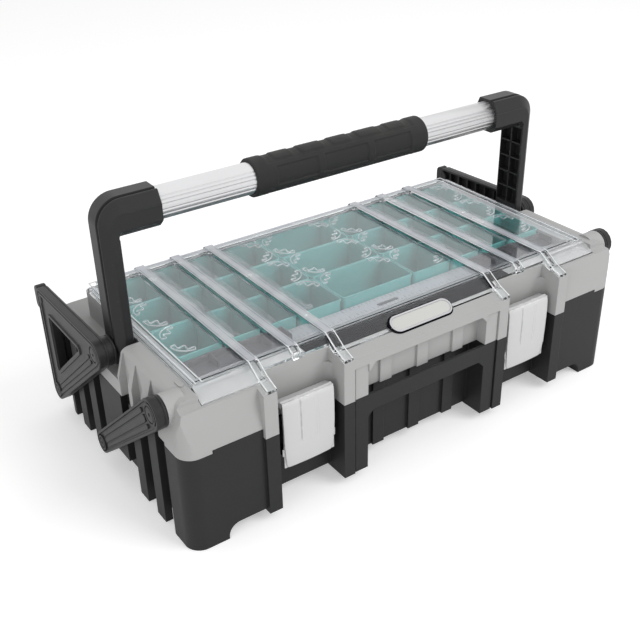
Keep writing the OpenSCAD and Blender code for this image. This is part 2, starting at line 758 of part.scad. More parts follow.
// One strap: a raised rib along the lid and down its slope to y, with a foot to foot_y on the flange.
module strap(x, y, foot_y) {
    z = lid_z - (lid_front - y) * tan(lid_tilt);
    low = foot_y < y ? flange_z(foot_y) + lid_gap : z - lid_t + 0.5;
    yz(x - strap_w / 2, x + strap_w / 2)
        polygon(concat(
            [[hinge_y, lid_z + strap_h - 0.5], [hinge_y - 6, lid_z + strap_h], [lid_front - 1, lid_z + strap_h],
             [y, z + strap_h]],
            foot_y < y ? [[foot_y, low + foot_t], [foot_y, low], [y - 0.3, flange_z(y) + lid_gap]] : [[y, low]],
            [[y + 1, z - lid_t + 1.1], [lid_front, lid_z - lid_t + 0.2], [hinge_y - 10, lid_z - lid_t + 0.2],
             [hinge_y, lid_z]]));
    difference() {
        yz(x - strap_w / 2, x + strap_w / 2)
            taper_bar([hinge_y - 0.4, lid_z + strap_h - knuckle_r + 0.2], knuckle_r - 0.2, [hinge_y, hinge_z], knuckle_r, 10);
        // leaves the lid's underside open to the rear wall
        box([x - strap_w, hinge_y - 20, seat_z - 20], [x + strap_w, hinge_y - knuckle_r - 0.5, seat_z]);
    }
}

// The channel under a strap, from y on the slope to the rear skirt.
module strap_hollow(x, y) {
    z = lid_z - (lid_front - y) * tan(lid_tilt);
    h = strap_h - strap_wall;
    yz(x - strap_w / 2 + strap_wall, x + strap_w / 2 - strap_wall)
        polygon([[y, z + h], [y, z - lid_t - 1], [lid_front + 1, lid_z - lid_t - 1],
                 [hinge_y - 12, lid_z - lid_t - 1], [hinge_y - 12, lid_z + h], [lid_front - 1, lid_z + h]]);
}

module lid() color([0.85, 0.93, 0.95, 0.35]) difference() {
    union() {
        // skin: full slope at the corners and the middle, short over the latch bays
        difference() {
            yz(-well_hx, well_hx) lid_skin(slope_y);
            both() box([pillar_mid, fy - 5, 100], [pillar_out, bay_edge_y, 200]);
        }
        // side skirts resting on the rim
        both() yz(well_hx - 2.4, well_hx)
            polygon([[hinge_y - knuckle_r - 2, seat_z + lid_gap / 3], [lid_front + 1, seat_z + lid_gap / 3],
                     [lid_front + 1, lid_z], [hinge_y - knuckle_r - 2, lid_z]]);
        // rear skirt
        box([-well_hx, hinge_y - knuckle_r - 4, seat_z + lid_gap / 3], [well_hx, hinge_y - knuckle_r - 2, lid_z]);
        // raised rim of the top
        difference() {
            box([-well_hx + 3, lid_front + 3, lid_z - 0.5], [well_hx - 3, hinge_y - knuckle_r - 4, lid_z + 1.2]);
            box([-well_hx + 7, lid_front + 7, lid_z - 1], [well_hx - 7, hinge_y - knuckle_r - 8, lid_z + 2]);
        }
        both() {
            strap(strap_x[0], slope_y, fy + strap_set);
            strap(strap_x[1], bay_edge_y - 2, 0);
            strap(strap_x[2], slope_y, fy + strap_set);
        }
    }
    rod(-strap_x[2] - strap_w, strap_x[2] + strap_w, hinge_y, hinge_z, rod_r + run_gap);
    both() {
        strap_hollow(strap_x[0], slope_y + 2);
        strap_hollow(strap_x[1], bay_edge_y + 2);
        strap_hollow(strap_x[2], slope_y + 2);
    }
}

// Places a child that lies flat in (x, y) on the lid's slope, at d along the slope from its top.
module on_slope(d, h = 0) {
    translate([0, lid_front, lid_z]) rotate([lid_tilt, 0, 0]) translate([0, -d, h]) children();
}

module badge_rim() color([0.75, 0.75, 0.76]) on_slope(slope_len - 3) difference() {
    linear_extrude(badge_t) slot2(badge_l + 2 * badge_rim_w, badge_w + 2 * badge_rim_w);
    translate([0, 0, 1]) linear_extrude(badge_t) slot2(badge_l, badge_w);
}

module badge_plate() color([0.9, 0.9, 0.88]) on_slope(slope_len - 3, 1)
    linear_extrude(badge_t - 1.6) slot2(badge_l, badge_w);

// Latches

module latch(s) color([0.82, 0.82, 0.82]) side(s) difference() {
    union() {
        // plate with a folded lip and an inward hook along the top
        yz(bay_x - latch_w / 2, bay_x + latch_w / 2)
            polygon([[latch_y + 1, latch_low], [latch_y + latch_t + 1, latch_low],
                     [latch_y + latch_t + 1, latch_low + 14], [latch_y + latch_t, latch_low + 26],
                     [latch_y + latch_t, latch_top - lip_h - hook_t], [bay_y - hook_y, latch_top - lip_h - hook_t],
                     [bay_y - hook_y, latch_top - lip_h], [latch_y + 1.5, latch_top], [latch_y, latch_top - 2],
                     [latch_y, latch_low + 24]]);
        // ears at the sides, low down
        box([bay_x - latch_w / 2 - 1.5, latch_y + 0.5, latch_low + 14], [bay_x + latch_w / 2 + 1.5, latch_y + latch_t, latch_low + 22]);
        // web and barrel of the pivot
        box([bay_x - barrel_hx, latch_y + latch_t - 0.5, latch_pz - 3], [bay_x + barrel_hx, latch_axis_y, latch_pz + 3]);
        rod(bay_x - barrel_hx, bay_x + barrel_hx, latch_axis_y, latch_pz, barrel_r);
    }
    rod(bay_x - latch_w, bay_x + latch_w, latch_axis_y, latch_pz, latch_pin_r + run_gap);
    // two upright flutes in the face
    for (x = [-9, 9]) box([bay_x + x - 0.6, latch_y - 1, latch_low + 20], [bay_x + x + 0.6, latch_y + 0.8, latch_top - 2.5]);
}

// Handle

// Rectangle with bevelled corners, centred.
module bevelled(w, h, b) {
    polygon([[-w / 2 + b, -h / 2], [w / 2 - b, -h / 2], [w / 2, -h / 2 + b], [w / 2, h / 2 - b],
             [w / 2 - b, h / 2], [-w / 2 + b, h / 2], [-w / 2, h / 2 - b], [-w / 2, -h / 2 + b]]);
}

module arm(s) color([0.11, 0.11, 0.11]) side(s) {
    top = bar_z0 + sleeve_h / 2;
    xm = (arm_in + arm_out) / 2;
    difference() {
        union() {
            // upright part
            intersection() {
                translate([xm, 0, hub_z - arm_w]) linear_extrude(top - hub_z + arm_w - elbow_r + eps)
                    bevelled(arm_t, arm_w, arm_bevel / 2);
                yz(arm_in - 1, arm_out + 1) {
                    translate([-arm_w / 2, hub_z]) square([arm_w, top]);
                    translate([0, hub_z]) circle(d = arm_w, $fn = 96);
                }
            }
            // sleeve and elbow
            intersection() {
                translate([sleeve_in, 0, bar_z0]) rotate([90, 0, 90]) linear_extrude(arm_out - sleeve_in)
                    bevelled(arm_w, sleeve_h, arm_bevel);
                xz(-arm_w, arm_w) {
                    translate([sleeve_in, bar_z0 - sleeve_h]) square([arm_out - elbow_r - sleeve_in, 2 * sleeve_h]);
                    translate([arm_out - elbow_r - eps, bar_z0 - sleeve_h / 2]) square([elbow_r + eps, sleeve_h - elbow_r]);
                    translate([arm_out - elbow_r, top - elbow_r]) circle(r = elbow_r, $fn = 96);
                }
            }
        }
        // pockets in the inner face, two columns
        pocket_h = (bar_rise - sleeve_h / 2 - hub_r - 8) / pockets;
        for (i = [0 : pockets - 1]) for (k = [-1, 1])
            box([arm_in - 1, k < 0 ? -arm_w / 2 + 3 : 1, hub_z + hub_r + 4 + i * pocket_h],
                [arm_in + pocket_d, k < 0 ? -1 : arm_w / 2 - 3, hub_z + hub_r + 2 + (i + 1) * pocket_h]);
        // groove down the outer face
        box([arm_out - 1, -arm_w / 2 + 8, hub_z + hub_r + 4], [arm_out + 1, -arm_w / 2 + 9.5, top - elbow_r]);
        rod(arm_in - 1, arm_out + 1, 0, hub_z, pin_r + run_gap);
        rod(sleeve_in - 1, arm_in - 2, 0, bar_z0, tube_r);
    }
}

module tube() color([0.78, 0.79, 0.8]) difference() {
    rod(-arm_in + 2.5, arm_in - 2.5, 0, bar_z0, tube_r, 96);
    rod(-arm_in, arm_in, 0, bar_z0, tube_r - 1.8, 96);
    // flutes on the front
    for (a = [132 : 20 : 192])
        rod(-arm_in, arm_in, (tube_r + 0.4) * cos(a), bar_z0 + (tube_r + 0.4) * sin(a), flute_r, 24);
}

module grip() color([0.14, 0.14, 0.14]) difference() {
    union() {
        rod(-grip_hx, grip_hx, 0, bar_z0, grip_r, 96);
        // collars at the ends
        for (s = [-1, 1]) rod(s * (grip_hx - 4) - 4, s * (grip_hx - 4) + 4, 0, bar_z0, grip_r + pad_h, 96);
        // finger pads along the top and panels along the front
        intersection() {
            rod(-grip_hx, grip_hx, 0, bar_z0, grip_r + pad_h, 96);
            union() {
                for (x = [-78 : 39 : 78]) box([x - 16, -9, bar_z0], [x + 16, 12, bar_z0 + 40]);
                for (x = [-62, 0, 62]) box([x - 26, -40, bar_z0 - 12], [x + 26, 0, bar_z0 + 3]);
            }
        }
    }
    rod(-grip_hx - 1, grip_hx + 1, 0, bar_z0, tube_r, 96);
}

// Links

// Ring and centre moulded round a pivot on the outer face.
module pivot_ring(y, z, r) {
    difference() {
        rod(link_out - line_d, link_out + 1, y, z, r);
        rod(link_out - line_d - 1, link_out + 2, y, z, r - 1.6);
    }
}

// Line moulded in the outer face, from a to b.
module link_line(a, b, w = 1.3) {
    d = norm(b - a);
    translate([link_out - line_d, a[0], a[1]]) rotate([atan2(b[1] - a[1], b[0] - a[0]), 0, 0])
        translate([0, 0, -w / 2]) cube([line_d + 1, d, w]);
}

// The lines that run along a link at offset o from its middle line.
module bar_lines(a, b, offs, e0, e1) {
    u = (b - a) / norm(b - a);
    n = [-u[1], u[0]];
    for (o = offs) link_line(a + u * e0 + n * o, b - u * e1 + n * o);
}

module front_link(s) color([0.12, 0.12, 0.12]) side(s) {
    a = [front_hub_y, hub_z];
    b = [front_low_y, low_z];
    difference() {
        yz(link_in, link_out) taper_bar(a, hub_r, b, low_r);
        rod(link_in - 1, pin_out + pin_end_gap, a[0], a[1], pin_r + run_gap);
        rod(link_in - 1, pin_out + pin_end_gap, b[0], b[1], pin_r + run_gap);
        pivot_ring(a[0], a[1], 8);
        pivot_ring(b[0], b[1], 7);
        bar_lines(a, b, [-7.5, -4, 4, 7.5], 17, 17);
    }
}

module rear_link(s) color([0.12, 0.12, 0.12]) side(s) {
    a = [0, hub_z];
    b = [link_dy, low_z];
    top = hub_z + tri_rise;
    u = (b - a) / norm(b - a);
    n = [-u[1], u[0]];
    // inner triangle, from the frame widths
    iz = top - tri_top_w;
    iy = tri_back - tri_back_w - 6;
    p = a + n * 13;
    ha = p + u * ((iz - p[1]) / u[1]);
    hb = p + u * ((iy - p[0]) / u[0]);
    difference() {
        union() {
            yz(link_in, link_out) link_outline(a, b, top);
            // hub that reaches in to the handle arm
            rod(arm_out + arm_gap, link_in + 1, a[0], a[1], hub_r - 0.5);
        }
        yz(link_in - 1, link_out + 1) polygon([ha, [iy, iz], hb]);
        rod(arm_out, pin_out + pin_end_gap, a[0], a[1], pin_r + run_gap);
        rod(arm_out, pin_out + pin_end_gap, b[0], b[1], pin_r + run_gap);
        pivot_ring(a[0], a[1], 8);
        pivot_ring(b[0], b[1], 7);
        bar_lines(a, b, [-7, -1, 5], 17, 17);
        // nested lines along the top and the back
        for (o = [5, 13]) link_line([a[0] + 16, top - o], [tri_back - 12 - o, top - o]);
        for (o = [9, 17]) link_line([tri_back - o - 4, top - 30], [tri_back - o - 6, low_z + 18]);
        link_line([ha[0] - 4, iz + 4], [iy + 4, iz + 4]);
        link_line([iy + 4, iz + 4], [iy + 4, hb[1] - 4]);
    }
}

base_tub();
base_pin(-1, front_low_y);  // base_pin_front_left
base_pin(1, front_low_y);  // base_pin_front_right
base_pin(-1, link_dy);  // base_pin_rear_left
base_pin(1, link_dy);  // base_pin_rear_right
latch_pin(-1);  // latch_pin_left
latch_pin(1);  // latch_pin_right
organiser_case();
case_pin_front(-1);  // case_pin_front_left
case_pin_front(1);  // case_pin_front_right
case_pin_rear(-1);  // case_pin_rear_left
case_pin_rear(1);  // case_pin_rear_right
ruler();
badge_band();
lid_rod();
lid();
badge_rim();
badge_plate();
latch(-1);  // latch_left
latch(1);  // latch_right
arm(-1);  // arm_left
arm(1);  // arm_right
tube();
grip();
rear_link(-1);  // rear_link_left
rear_link(1);  // rear_link_right
front_link(-1);  // front_link_left
front_link(1);  // front_link_right
for (c = [0 : n_cols - 1]) for (r = [0 : rows - 1])
    cup(c, r);
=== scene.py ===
import json
import math

import bmesh
import bpy
from mathutils import Matrix, Vector
from mathutils.bvhtree import BVHTree

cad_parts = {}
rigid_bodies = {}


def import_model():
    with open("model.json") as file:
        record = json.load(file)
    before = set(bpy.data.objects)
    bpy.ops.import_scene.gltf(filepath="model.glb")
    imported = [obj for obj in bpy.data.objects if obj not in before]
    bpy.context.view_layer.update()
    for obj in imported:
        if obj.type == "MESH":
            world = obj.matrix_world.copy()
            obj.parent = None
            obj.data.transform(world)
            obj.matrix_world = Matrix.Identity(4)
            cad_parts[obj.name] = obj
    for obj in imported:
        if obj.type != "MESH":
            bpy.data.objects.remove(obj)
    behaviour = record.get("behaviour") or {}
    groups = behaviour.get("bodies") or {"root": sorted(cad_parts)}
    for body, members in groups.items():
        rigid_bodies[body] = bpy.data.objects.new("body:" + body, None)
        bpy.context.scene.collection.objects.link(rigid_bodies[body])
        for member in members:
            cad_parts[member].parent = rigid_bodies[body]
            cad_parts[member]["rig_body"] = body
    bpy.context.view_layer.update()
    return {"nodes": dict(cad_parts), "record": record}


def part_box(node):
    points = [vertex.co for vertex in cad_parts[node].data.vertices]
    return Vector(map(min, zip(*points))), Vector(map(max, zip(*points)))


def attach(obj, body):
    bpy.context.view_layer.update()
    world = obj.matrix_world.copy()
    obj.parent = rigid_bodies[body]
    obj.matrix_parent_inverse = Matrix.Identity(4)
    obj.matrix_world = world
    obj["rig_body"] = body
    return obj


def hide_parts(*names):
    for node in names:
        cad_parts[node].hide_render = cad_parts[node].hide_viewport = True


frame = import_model()
NODES = frame["nodes"]
SLOT_OF = {part["node"]: part["material_slot"] for part in frame["record"]["subparts"]}
MM = 0.001
Y, Z = Vector((0, 1, 0)), Vector((0, 0, 1))

# Driving places in mm, as in the part's source
CASE_HX = 269.5
FRONT_Y = -152.0
LINK_GAP = 1.0
LINK_T = 11.0
HUB_R, LOW_R = 15.0, 11.5
STRAP_X = (98.5, 139.5, 181.0)
STRAP_HALF = 5.0
STRAP_RISE = 3.5
LID_EDGE_Y = -121.0
SLOPE_Y = -137.5
SLOPE_FALL = 10.0
LID_T = 2.2
COL_X = (45.5, 98.5, 139.5, 180.0, 229.5)
CUPS_FRONT, CUPS_BACK = -70.5, 98.5
LID_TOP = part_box("lid")[1].z / MM - STRAP_RISE
SHELF_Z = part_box("ruler")[0].z / MM
ROW_Y = [CUPS_FRONT + row * (CUPS_BACK - CUPS_FRONT) / 3 for row in range(4)]
STRAP_MIDDLES = [side * x for side in (-1, 1) for x in STRAP_X]

# Shading
BEVEL_SAMPLES = 4
SHARP = math.radians(28)
SMOOTH = math.radians(38)
EDGE_MASK_REACH = 1.6
DUST_COLOUR, DUST_ROUGHNESS = (0.42, 0.40, 0.37, 1.0), 0.6
WHITE = (1.0, 1.0, 1.0, 1.0)
STYRENE_IOR = 1.49


# Node groups that the finishes share

def new_group(name, inputs, outputs):
    """An empty shader group with number inputs (name, default) and typed outputs."""
    group = bpy.data.node_groups.new(name, "ShaderNodeTree")
    for label, value in inputs:
        socket = group.interface.new_socket(name=label, in_out="INPUT", socket_type="NodeSocketFloat")
        socket.default_value = value
    for label, kind in outputs:
        group.interface.new_socket(name=label, in_out="OUTPUT", socket_type=kind)
    return group, group.nodes.new("NodeGroupInput"), group.nodes.new("NodeGroupOutput")


def feed(tree, node, values):
    """Feeds the inputs of a node, by name or number: a socket is linked, a plain value is set."""
    for label, value in values.items():
        if isinstance(value, bpy.types.NodeSocket):
            tree.links.new(value, node.inputs[label])
        elif value is not None:
            node.inputs[label].default_value = value


def math_node(tree, operation, a, b, clamp=False):
    """A Math node fed by sockets or plain numbers; returns its output."""
    node = tree.nodes.new("ShaderNodeMath")
    node.operation, node.use_clamp = operation, clamp
    feed(tree, node, {0: a, 1: b})
    return node.outputs[0]


def noise(tree, vector, scale, detail=3.0, rough=0.5):
    """A noise texture on the given vector; scale is a number or a socket."""
    node = tree.nodes.new("ShaderNodeTexNoise")
    feed(tree, node, {"Vector": vector, "Scale": scale, "Detail": detail, "Roughness": rough})
    return node.outputs["Fac"]


def spread(tree, value, low, high, to_low=0.0, to_high=1.0):
    """Maps low..high to to_low..to_high, clamped."""
    node = tree.nodes.new("ShaderNodeMapRange")
    feed(tree, node, {"Value": value, "From Min": low, "From Max": high, "To Min": to_low,
                      "To Max": to_high})
    return node.outputs["Result"]


def swing(tree, value, amount):
    """A 0..1 value turned into one that swings about zero by the amount."""
    return math_node(tree, "MULTIPLY", math_node(tree, "SUBTRACT", value, 0.5), amount)


def rounding(tree, radius):
    """The normal of an edge rounded off by the radius, a number or a socket."""
    node = tree.nodes.new("ShaderNodeBevel")
    node.samples = BEVEL_SAMPLES
    feed(tree, node, {"Radius": radius})
    return node.outputs["Normal"]


def relief_normal(tree, height, strength, depth, normal=None):
    """A bump of the height, on the given normal."""
    node = tree.nodes.new("ShaderNodeBump")
    feed(tree, node, {"Strength": strength, "Distance": depth, "Height": height, "Normal": normal})
    return node.outputs["Normal"]


def object_place(tree):
    """The place on the object, in metres."""
    return tree.nodes.new("ShaderNodeTexCoord").outputs["Object"]


def facing(tree):
    """The surface normal, without rounding and relief."""
    return tree.nodes.new("ShaderNodeNewGeometry").outputs["Normal"]


def upness(tree):
    """The height part of the surface normal."""
    split = tree.nodes.new("ShaderNodeSeparateXYZ")
    feed(tree, split, {0: facing(tree)})
    return split.outputs["Z"]


def make_moulded_grain():
    """Fine spark-eroded grain of moulded plastic, with a slow mottle of its shade and gloss."""
    group, inp, out = new_group("moulded grain", [("Scale", 900.0), ("Mottle", 0.5)],
                                [("Height", "NodeSocketFloat"), ("Shade", "NodeSocketFloat"),
                                 ("Gloss", "NodeSocketFloat")])
    place = object_place(group)
    fine = noise(group, place, inp.outputs["Scale"], detail=2.0, rough=0.6)
    slow = noise(group, place, 22.0, detail=4.0, rough=0.55)
    patch = noise(group, place, 90.0, detail=3.0, rough=0.6)
    tone = swing(group, slow, inp.outputs["Mottle"])
    feed(group, out, {"Height": fine, "Shade": math_node(group, "ADD", tone, 1.0),
                      "Gloss": swing(group, patch, inp.outputs["Mottle"])})
    return group


def make_edge_wear_and_highlight():
    """Mask of the edges that hands and benches have rubbed, broken up by noise; where it whitens edges
    strongly, as on the latches, it is painted highlight.
    """
    group, inp, out = new_group("edge wear", [("Radius", 0.001), ("Amount", 0.5)],
                                [("Mask", "NodeSocketFloat")])
    dot = group.nodes.new("ShaderNodeVectorMath")
    dot.operation = "DOT_PRODUCT"
    feed(group, dot, {0: rounding(group, inp.outputs["Radius"]), 1: facing(group)})
    edge = spread(group, dot.outputs["Value"], 0.995, 0.86)
    place = object_place(group)
    broken = spread(group, noise(group, place, 120.0, detail=4.0, rough=0.65), 0.38, 0.66)
    mask = math_node(group, "MULTIPLY", edge, broken)
    feed(group, out, {"Mask": math_node(group, "MULTIPLY", mask, inp.outputs["Amount"])})
    return group


def make_settled_dust():
    """Mask of the thin dust that settles on faces that look up."""
    group, inp, out = new_group("settled dust", [("Amount", 0.1)], [("Mask", "NodeSocketFloat")])
    up = spread(group, upness(group), 0.35, 0.95)
    place = object_place(group)
    cloud = spread(group, noise(group, place, 35.0, detail=6.0, rough=0.7), 0.35, 0.75)
    mask = math_node(group, "MULTIPLY", up, cloud)
    feed(group, out, {"Mask": math_node(group, "MULTIPLY", mask, inp.outputs["Amount"])})
    return group


GRAIN, WEAR_AND_HIGHLIGHT, DUST = make_moulded_grain(), make_edge_wear_and_highlight(), make_settled_dust()


# Finishes

def place_group(tree, group, **values):
    """Places a shared group with its inputs set; returns its outputs."""
    node = tree.nodes.new("ShaderNodeGroup")
    node.node_tree = group
    feed(tree, node, values)
    return node.outputs


def mix_colour(tree, mask, a, b):
    """Mixes two colours (sockets or RGBA tuples) by a mask; returns the colour."""
    node = tree.nodes.new("ShaderNodeMix")
    node.data_type = "RGBA"
    feed(tree, node, {0: mask, 6: a, 7: b})
    return node.outputs[2]


def scale_colour(tree, colour, factor):
    """A colour times the factor; returns the colour."""
    node = tree.nodes.new("ShaderNodeVectorMath")
    node.operation = "SCALE"
    feed(tree, node, {0: colour, "Scale": factor})
    return node.outputs["Vector"]


def new_material(name):
    """A node material, with its tree, its Principled shader and its output."""
    mat = bpy.data.materials.new(name)
    mat.use_nodes = True
    tree = mat.node_tree
    return mat, tree, tree.nodes["Principled BSDF"], tree.nodes["Material Output"]


def moulded(name, colour, roughness, grain=1400.0, depth=0.00003, mottle=0.12, rub_and_highlight=(0.4, 0.4, 0.4),
            wear_and_highlight=0.25, dust=0.05, radius=0.0008, coat=0.0, specular=0.5):
    """A moulded or painted finish: grain, mottled shade and gloss, rubbed edges (on the latches also
    painted highlight) and a little dust.
    """
    mat, tree, bsdf, _ = new_material(name)
    grains = place_group(tree, GRAIN, Scale=grain, Mottle=mottle)
    worn_and_lit = place_group(tree, WEAR_AND_HIGHLIGHT, Radius=radius * EDGE_MASK_REACH, Amount=wear_and_highlight)["Mask"]
    dusty = place_group(tree, DUST, Amount=dust)["Mask"]
    base = scale_colour(tree, colour, grains["Shade"])
    base = mix_colour(tree, worn_and_lit, base, (*rub_and_highlight, 1.0))
    gloss = math_node(tree, "MULTIPLY", grains["Gloss"], 0.5)
    rough = math_node(tree, "ADD", math_node(tree, "ADD", gloss, roughness),
                      math_node(tree, "MULTIPLY", dusty, DUST_ROUGHNESS), clamp=True)
    feed(tree, bsdf, {
        "Base Color": mix_colour(tree, dusty, base, DUST_COLOUR), "Roughness": rough,
        "Normal": relief_normal(tree, grains["Height"], 0.6, depth, rounding(tree, radius)),
        "Specular IOR Level": specular, "Coat Weight": coat, "Coat Roughness": 0.08})
    return mat


def clear_moulding(name, tint, roughness=0.02, clearness=1.0, shadow=(0.9, 0.93, 0.93), specular=0.5):
    """Clear styrene that lets the lamps through, with faint flow lines and wiping marks."""
    mat, tree, bsdf, out = new_material(name)
    place = object_place(tree)
    smear = noise(tree, place, 30.0, detail=5.0, rough=0.6)
    flow = noise(tree, place, 14.0, detail=2.0, rough=0.4)
    feed(tree, bsdf, {
        "Base Color": mix_colour(tree, spread(tree, smear, 0.3, 0.7, 0.0, 0.6), (*tint, 1.0), WHITE),
        "Roughness": spread(tree, smear, 0.45, 0.8, roughness, roughness + 0.04),
        "Normal": relief_normal(tree, flow, 0.15, 0.0002), "Transmission Weight": clearness,
        "Specular IOR Level": specular, "IOR": STYRENE_IOR})
    through = tree.nodes.new("ShaderNodeBsdfTransparent")
    through.inputs["Color"].default_value = (*shadow, 1.0)
    mix = tree.nodes.new("ShaderNodeMixShader")
    path = tree.nodes.new("ShaderNodeLightPath")
    feed(tree, mix, {0: path.outputs["Is Shadow Ray"], 1: bsdf.outputs["BSDF"],
                     2: through.outputs["BSDF"]})
    feed(tree, out, {"Surface": mix.outputs["Shader"]})
    return mat


def drawn_metal(name, colour, roughness, metallic=1.0, streak=0.12, underside_shade=1.0):
    """Metal drawn along x: long streaks of shade and gloss, and painted shade on the lower side if
    asked.
    """
    mat, tree, bsdf, _ = new_material(name)
    place = object_place(tree)
    stretch = tree.nodes.new("ShaderNodeMapping")
    feed(tree, stretch, {"Vector": place, "Scale": (6.0, 900.0, 900.0)})
    lines = noise(tree, stretch.outputs["Vector"], 1.0, detail=4.0, rough=0.6)
    slow = noise(tree, place, 18.0, detail=3.0, rough=0.5)
    tone = math_node(tree, "ADD", swing(tree, lines, streak),
                     math_node(tree, "ADD", swing(tree, slow, 0.06), 1.0))
    # painted shade: faces that look down are darkened
    tone = math_node(tree, "MULTIPLY", tone, spread(tree, upness(tree), -0.75, 0.05, underside_shade, 1.0))
    feed(tree, bsdf, {
        "Base Color": scale_colour(tree, colour, tone), "Metallic": metallic,
        "Roughness": spread(tree, lines, 0.25, 0.75, roughness - 0.06, roughness + 0.08),
        "Normal": relief_normal(tree, lines, 0.25, 0.00002, rounding(tree, 0.0003))})
    return mat


BLACK_SHELL = moulded("base plastic, fine matt black", (0.020, 0.020, 0.021), 0.45,
                      rub_and_highlight=(0.10, 0.10, 0.10), dust=0.03, specular=0.3)
BLACK_ARM = moulded("arm plastic, satin black", (0.021, 0.021, 0.022), 0.36, rub_and_highlight=(0.12, 0.12, 0.12),
                    dust=0.02, specular=0.3)
BLACK_BAND = moulded("band plastic, gloss black", (0.005, 0.005, 0.008), 0.35, depth=0.00001,
                     mottle=0.02, wear_and_highlight=0.0, dust=0.0, specular=0.05)
GREY_SHELL = moulded("case plastic, fine matt grey", (0.412, 0.412, 0.408), 0.48, mottle=0.07,
                     rub_and_highlight=(0.62, 0.62, 0.6), dust=0.03, specular=0.35)
# the shelf trays and the slot floor are darkened as painted shade
SHELF_SHADE = moulded("shelf tray plastic, dark grey", (0.08, 0.08, 0.085), 0.45, mottle=0.08,
                     dust=0.0, specular=0.3)
CUP_TEAL = moulded("cup plastic, teal", (0.075, 0.36, 0.335), 0.3, mottle=0.1,
                   rub_and_highlight=(0.35, 0.72, 0.68), wear_and_highlight=0.6, dust=0.0, radius=0.0006)
RULER_PALE = moulded("ruler plastic, pale grey", (0.44, 0.44, 0.46), 0.38, mottle=0.05, wear_and_highlight=0.1,
                     dust=0.0, radius=0.0004)
# the latch's edges are whitened through the edge mask as painted highlight
LATCH_SILVER = moulded("latch plastic, silver", (0.60, 0.60, 0.60), 0.26, depth=0.00001, mottle=0.05,
                       rub_and_highlight=(0.95, 0.95, 0.95), wear_and_highlight=0.9, dust=0.0, coat=0.35, specular=0.45)
BADGE_SILVER = drawn_metal("badge plate, silver white", (0.58, 0.58, 0.56), 0.35, metallic=0.2)
BADGE_CHROME = drawn_metal("badge rim, bright chrome", (0.62, 0.62, 0.64), 0.1, streak=0.03)
# the tube's lower side is darkened as painted shade
TUBE_ALUMINIUM = drawn_metal("tube, satin aluminium", (0.80, 0.80, 0.81), 0.34, streak=0.05,
                             underside_shade=0.55)
PIN_STEEL = drawn_metal("pins, drawn steel", (0.56, 0.57, 0.58), 0.28)
GRIP_RUBBER = moulded("grip rubber, dark grey", (0.020, 0.020, 0.020), 0.6, grain=2200.0,
                      depth=0.00005, rub_and_highlight=(0.06, 0.06, 0.06), wear_and_highlight=0.3, specular=0.3)
LID_CLEAR = clear_moulding("lid slope, clear styrene", (0.95, 0.96, 0.97), specular=0.12)
# the top's pale haze, the straps' pale tint and the whitened slope ends are painted reflection
LID_HAZE = clear_moulding("lid top, wiped styrene", (0.86, 0.88, 0.94), clearness=0.94)
LID_SLOPE_SHEEN = clear_moulding("lid slope ends, frosted styrene", (0.88, 0.89, 0.91), roughness=0.12,
                           clearness=0.72)
LID_SATIN_SHEEN = clear_moulding("lid straps, satin styrene", (0.62, 0.64, 0.71), roughness=0.25,
                           clearness=0.4, shadow=(0.5, 0.54, 0.56))
# whitened styrene for the ribs and strap edges, as painted highlight
LID_RIB_HIGHLIGHT = clear_moulding("lid ribs, bright styrene", (0.88, 0.90, 0.92), roughness=0.08,
                         clearness=0.3)
LID_CURL = clear_moulding("lid curls, polished styrene", (0.80, 0.86, 0.87), roughness=0.05,
                          clearness=0.6)
# the two finishes below are teal sheets laid beside the straps as painted shade
LID_SHADE = clear_moulding("lid beside the straps, thick styrene", (0.30, 0.52, 0.52),
                           specular=0.0)
LID_DEEP_SHADE = clear_moulding("lid wall feet, deep styrene", (0.02, 0.12, 0.12), roughness=0.1,
                          clearness=0.4, shadow=(0.5, 0.6, 0.6), specular=0.0)
INK_GREY = moulded("ruler ink, dark grey", (0.10, 0.10, 0.11), 0.5, wear_and_highlight=0.0, dust=0.0)


# Shaping helpers

# two edges whose directions agree by this cosine count as one line
IN_LINE = 0.8
# the room beside a rounded edge, in widths of its rounding
ROOM = 1.15
# points nearer than this are merged, faces that turn by less are one, in m and radians
MERGE, FLAT = 2e-5, math.radians(0.6)


def bevel(bm, geom, width, segments=2, affect="EDGES", **more):
    """Rounds the given edges or corners."""
    bmesh.ops.bevel(bm, geom=geom, offset=width, offset_type="OFFSET", segments=segments,
                    profile=0.5, affect=affect, clamp_overlap=True, material=-1, **more)


def soften(bm, width):
    """Rounds the sharp edges that have room for the width, and leaves the crowded ones."""
    # a dict keeps the edges in their order, so that each run rounds them alike
    picked = dict.fromkeys(e for e in bm.edges
                           if len(e.link_faces) == 2 and e.calc_face_angle(0.0) > SHARP)
    changed = True
    while changed:
        changed = False
        for edge in list(picked):
            line = edge.verts[1].co - edge.verts[0].co
            if line.length < 1e-7:
                del picked[edge]
                continue
            for loop in edge.link_loops:
                for other in (loop.link_loop_next.edge, loop.link_loop_prev.edge):
                    turn = other.verts[1].co - other.verts[0].co
                    if abs(turn.normalized().dot(line.normalized())) > IN_LINE:
                        continue
                    if turn.length < width * ROOM * (2 if other in picked else 1):
                        del picked[edge]
                        changed = True
                        break
                if edge not in picked:
                    break
    if picked:
        bevel(bm, list(picked), width, loop_slide=True)


def shade(bm, angle=SMOOTH):
    """Smooth faces, with the edges above the angle left sharp."""
    for face in bm.faces:
        face.smooth = True
    for edge in bm.edges:
        edge.smooth = len(edge.link_faces) == 2 and edge.calc_face_angle(0.0) < angle


def close_up(bm, angle=SMOOTH):
    """Turns the faces outward and shades them."""
    bmesh.ops.recalc_face_normals(bm, faces=bm.faces)
    shade(bm, angle)


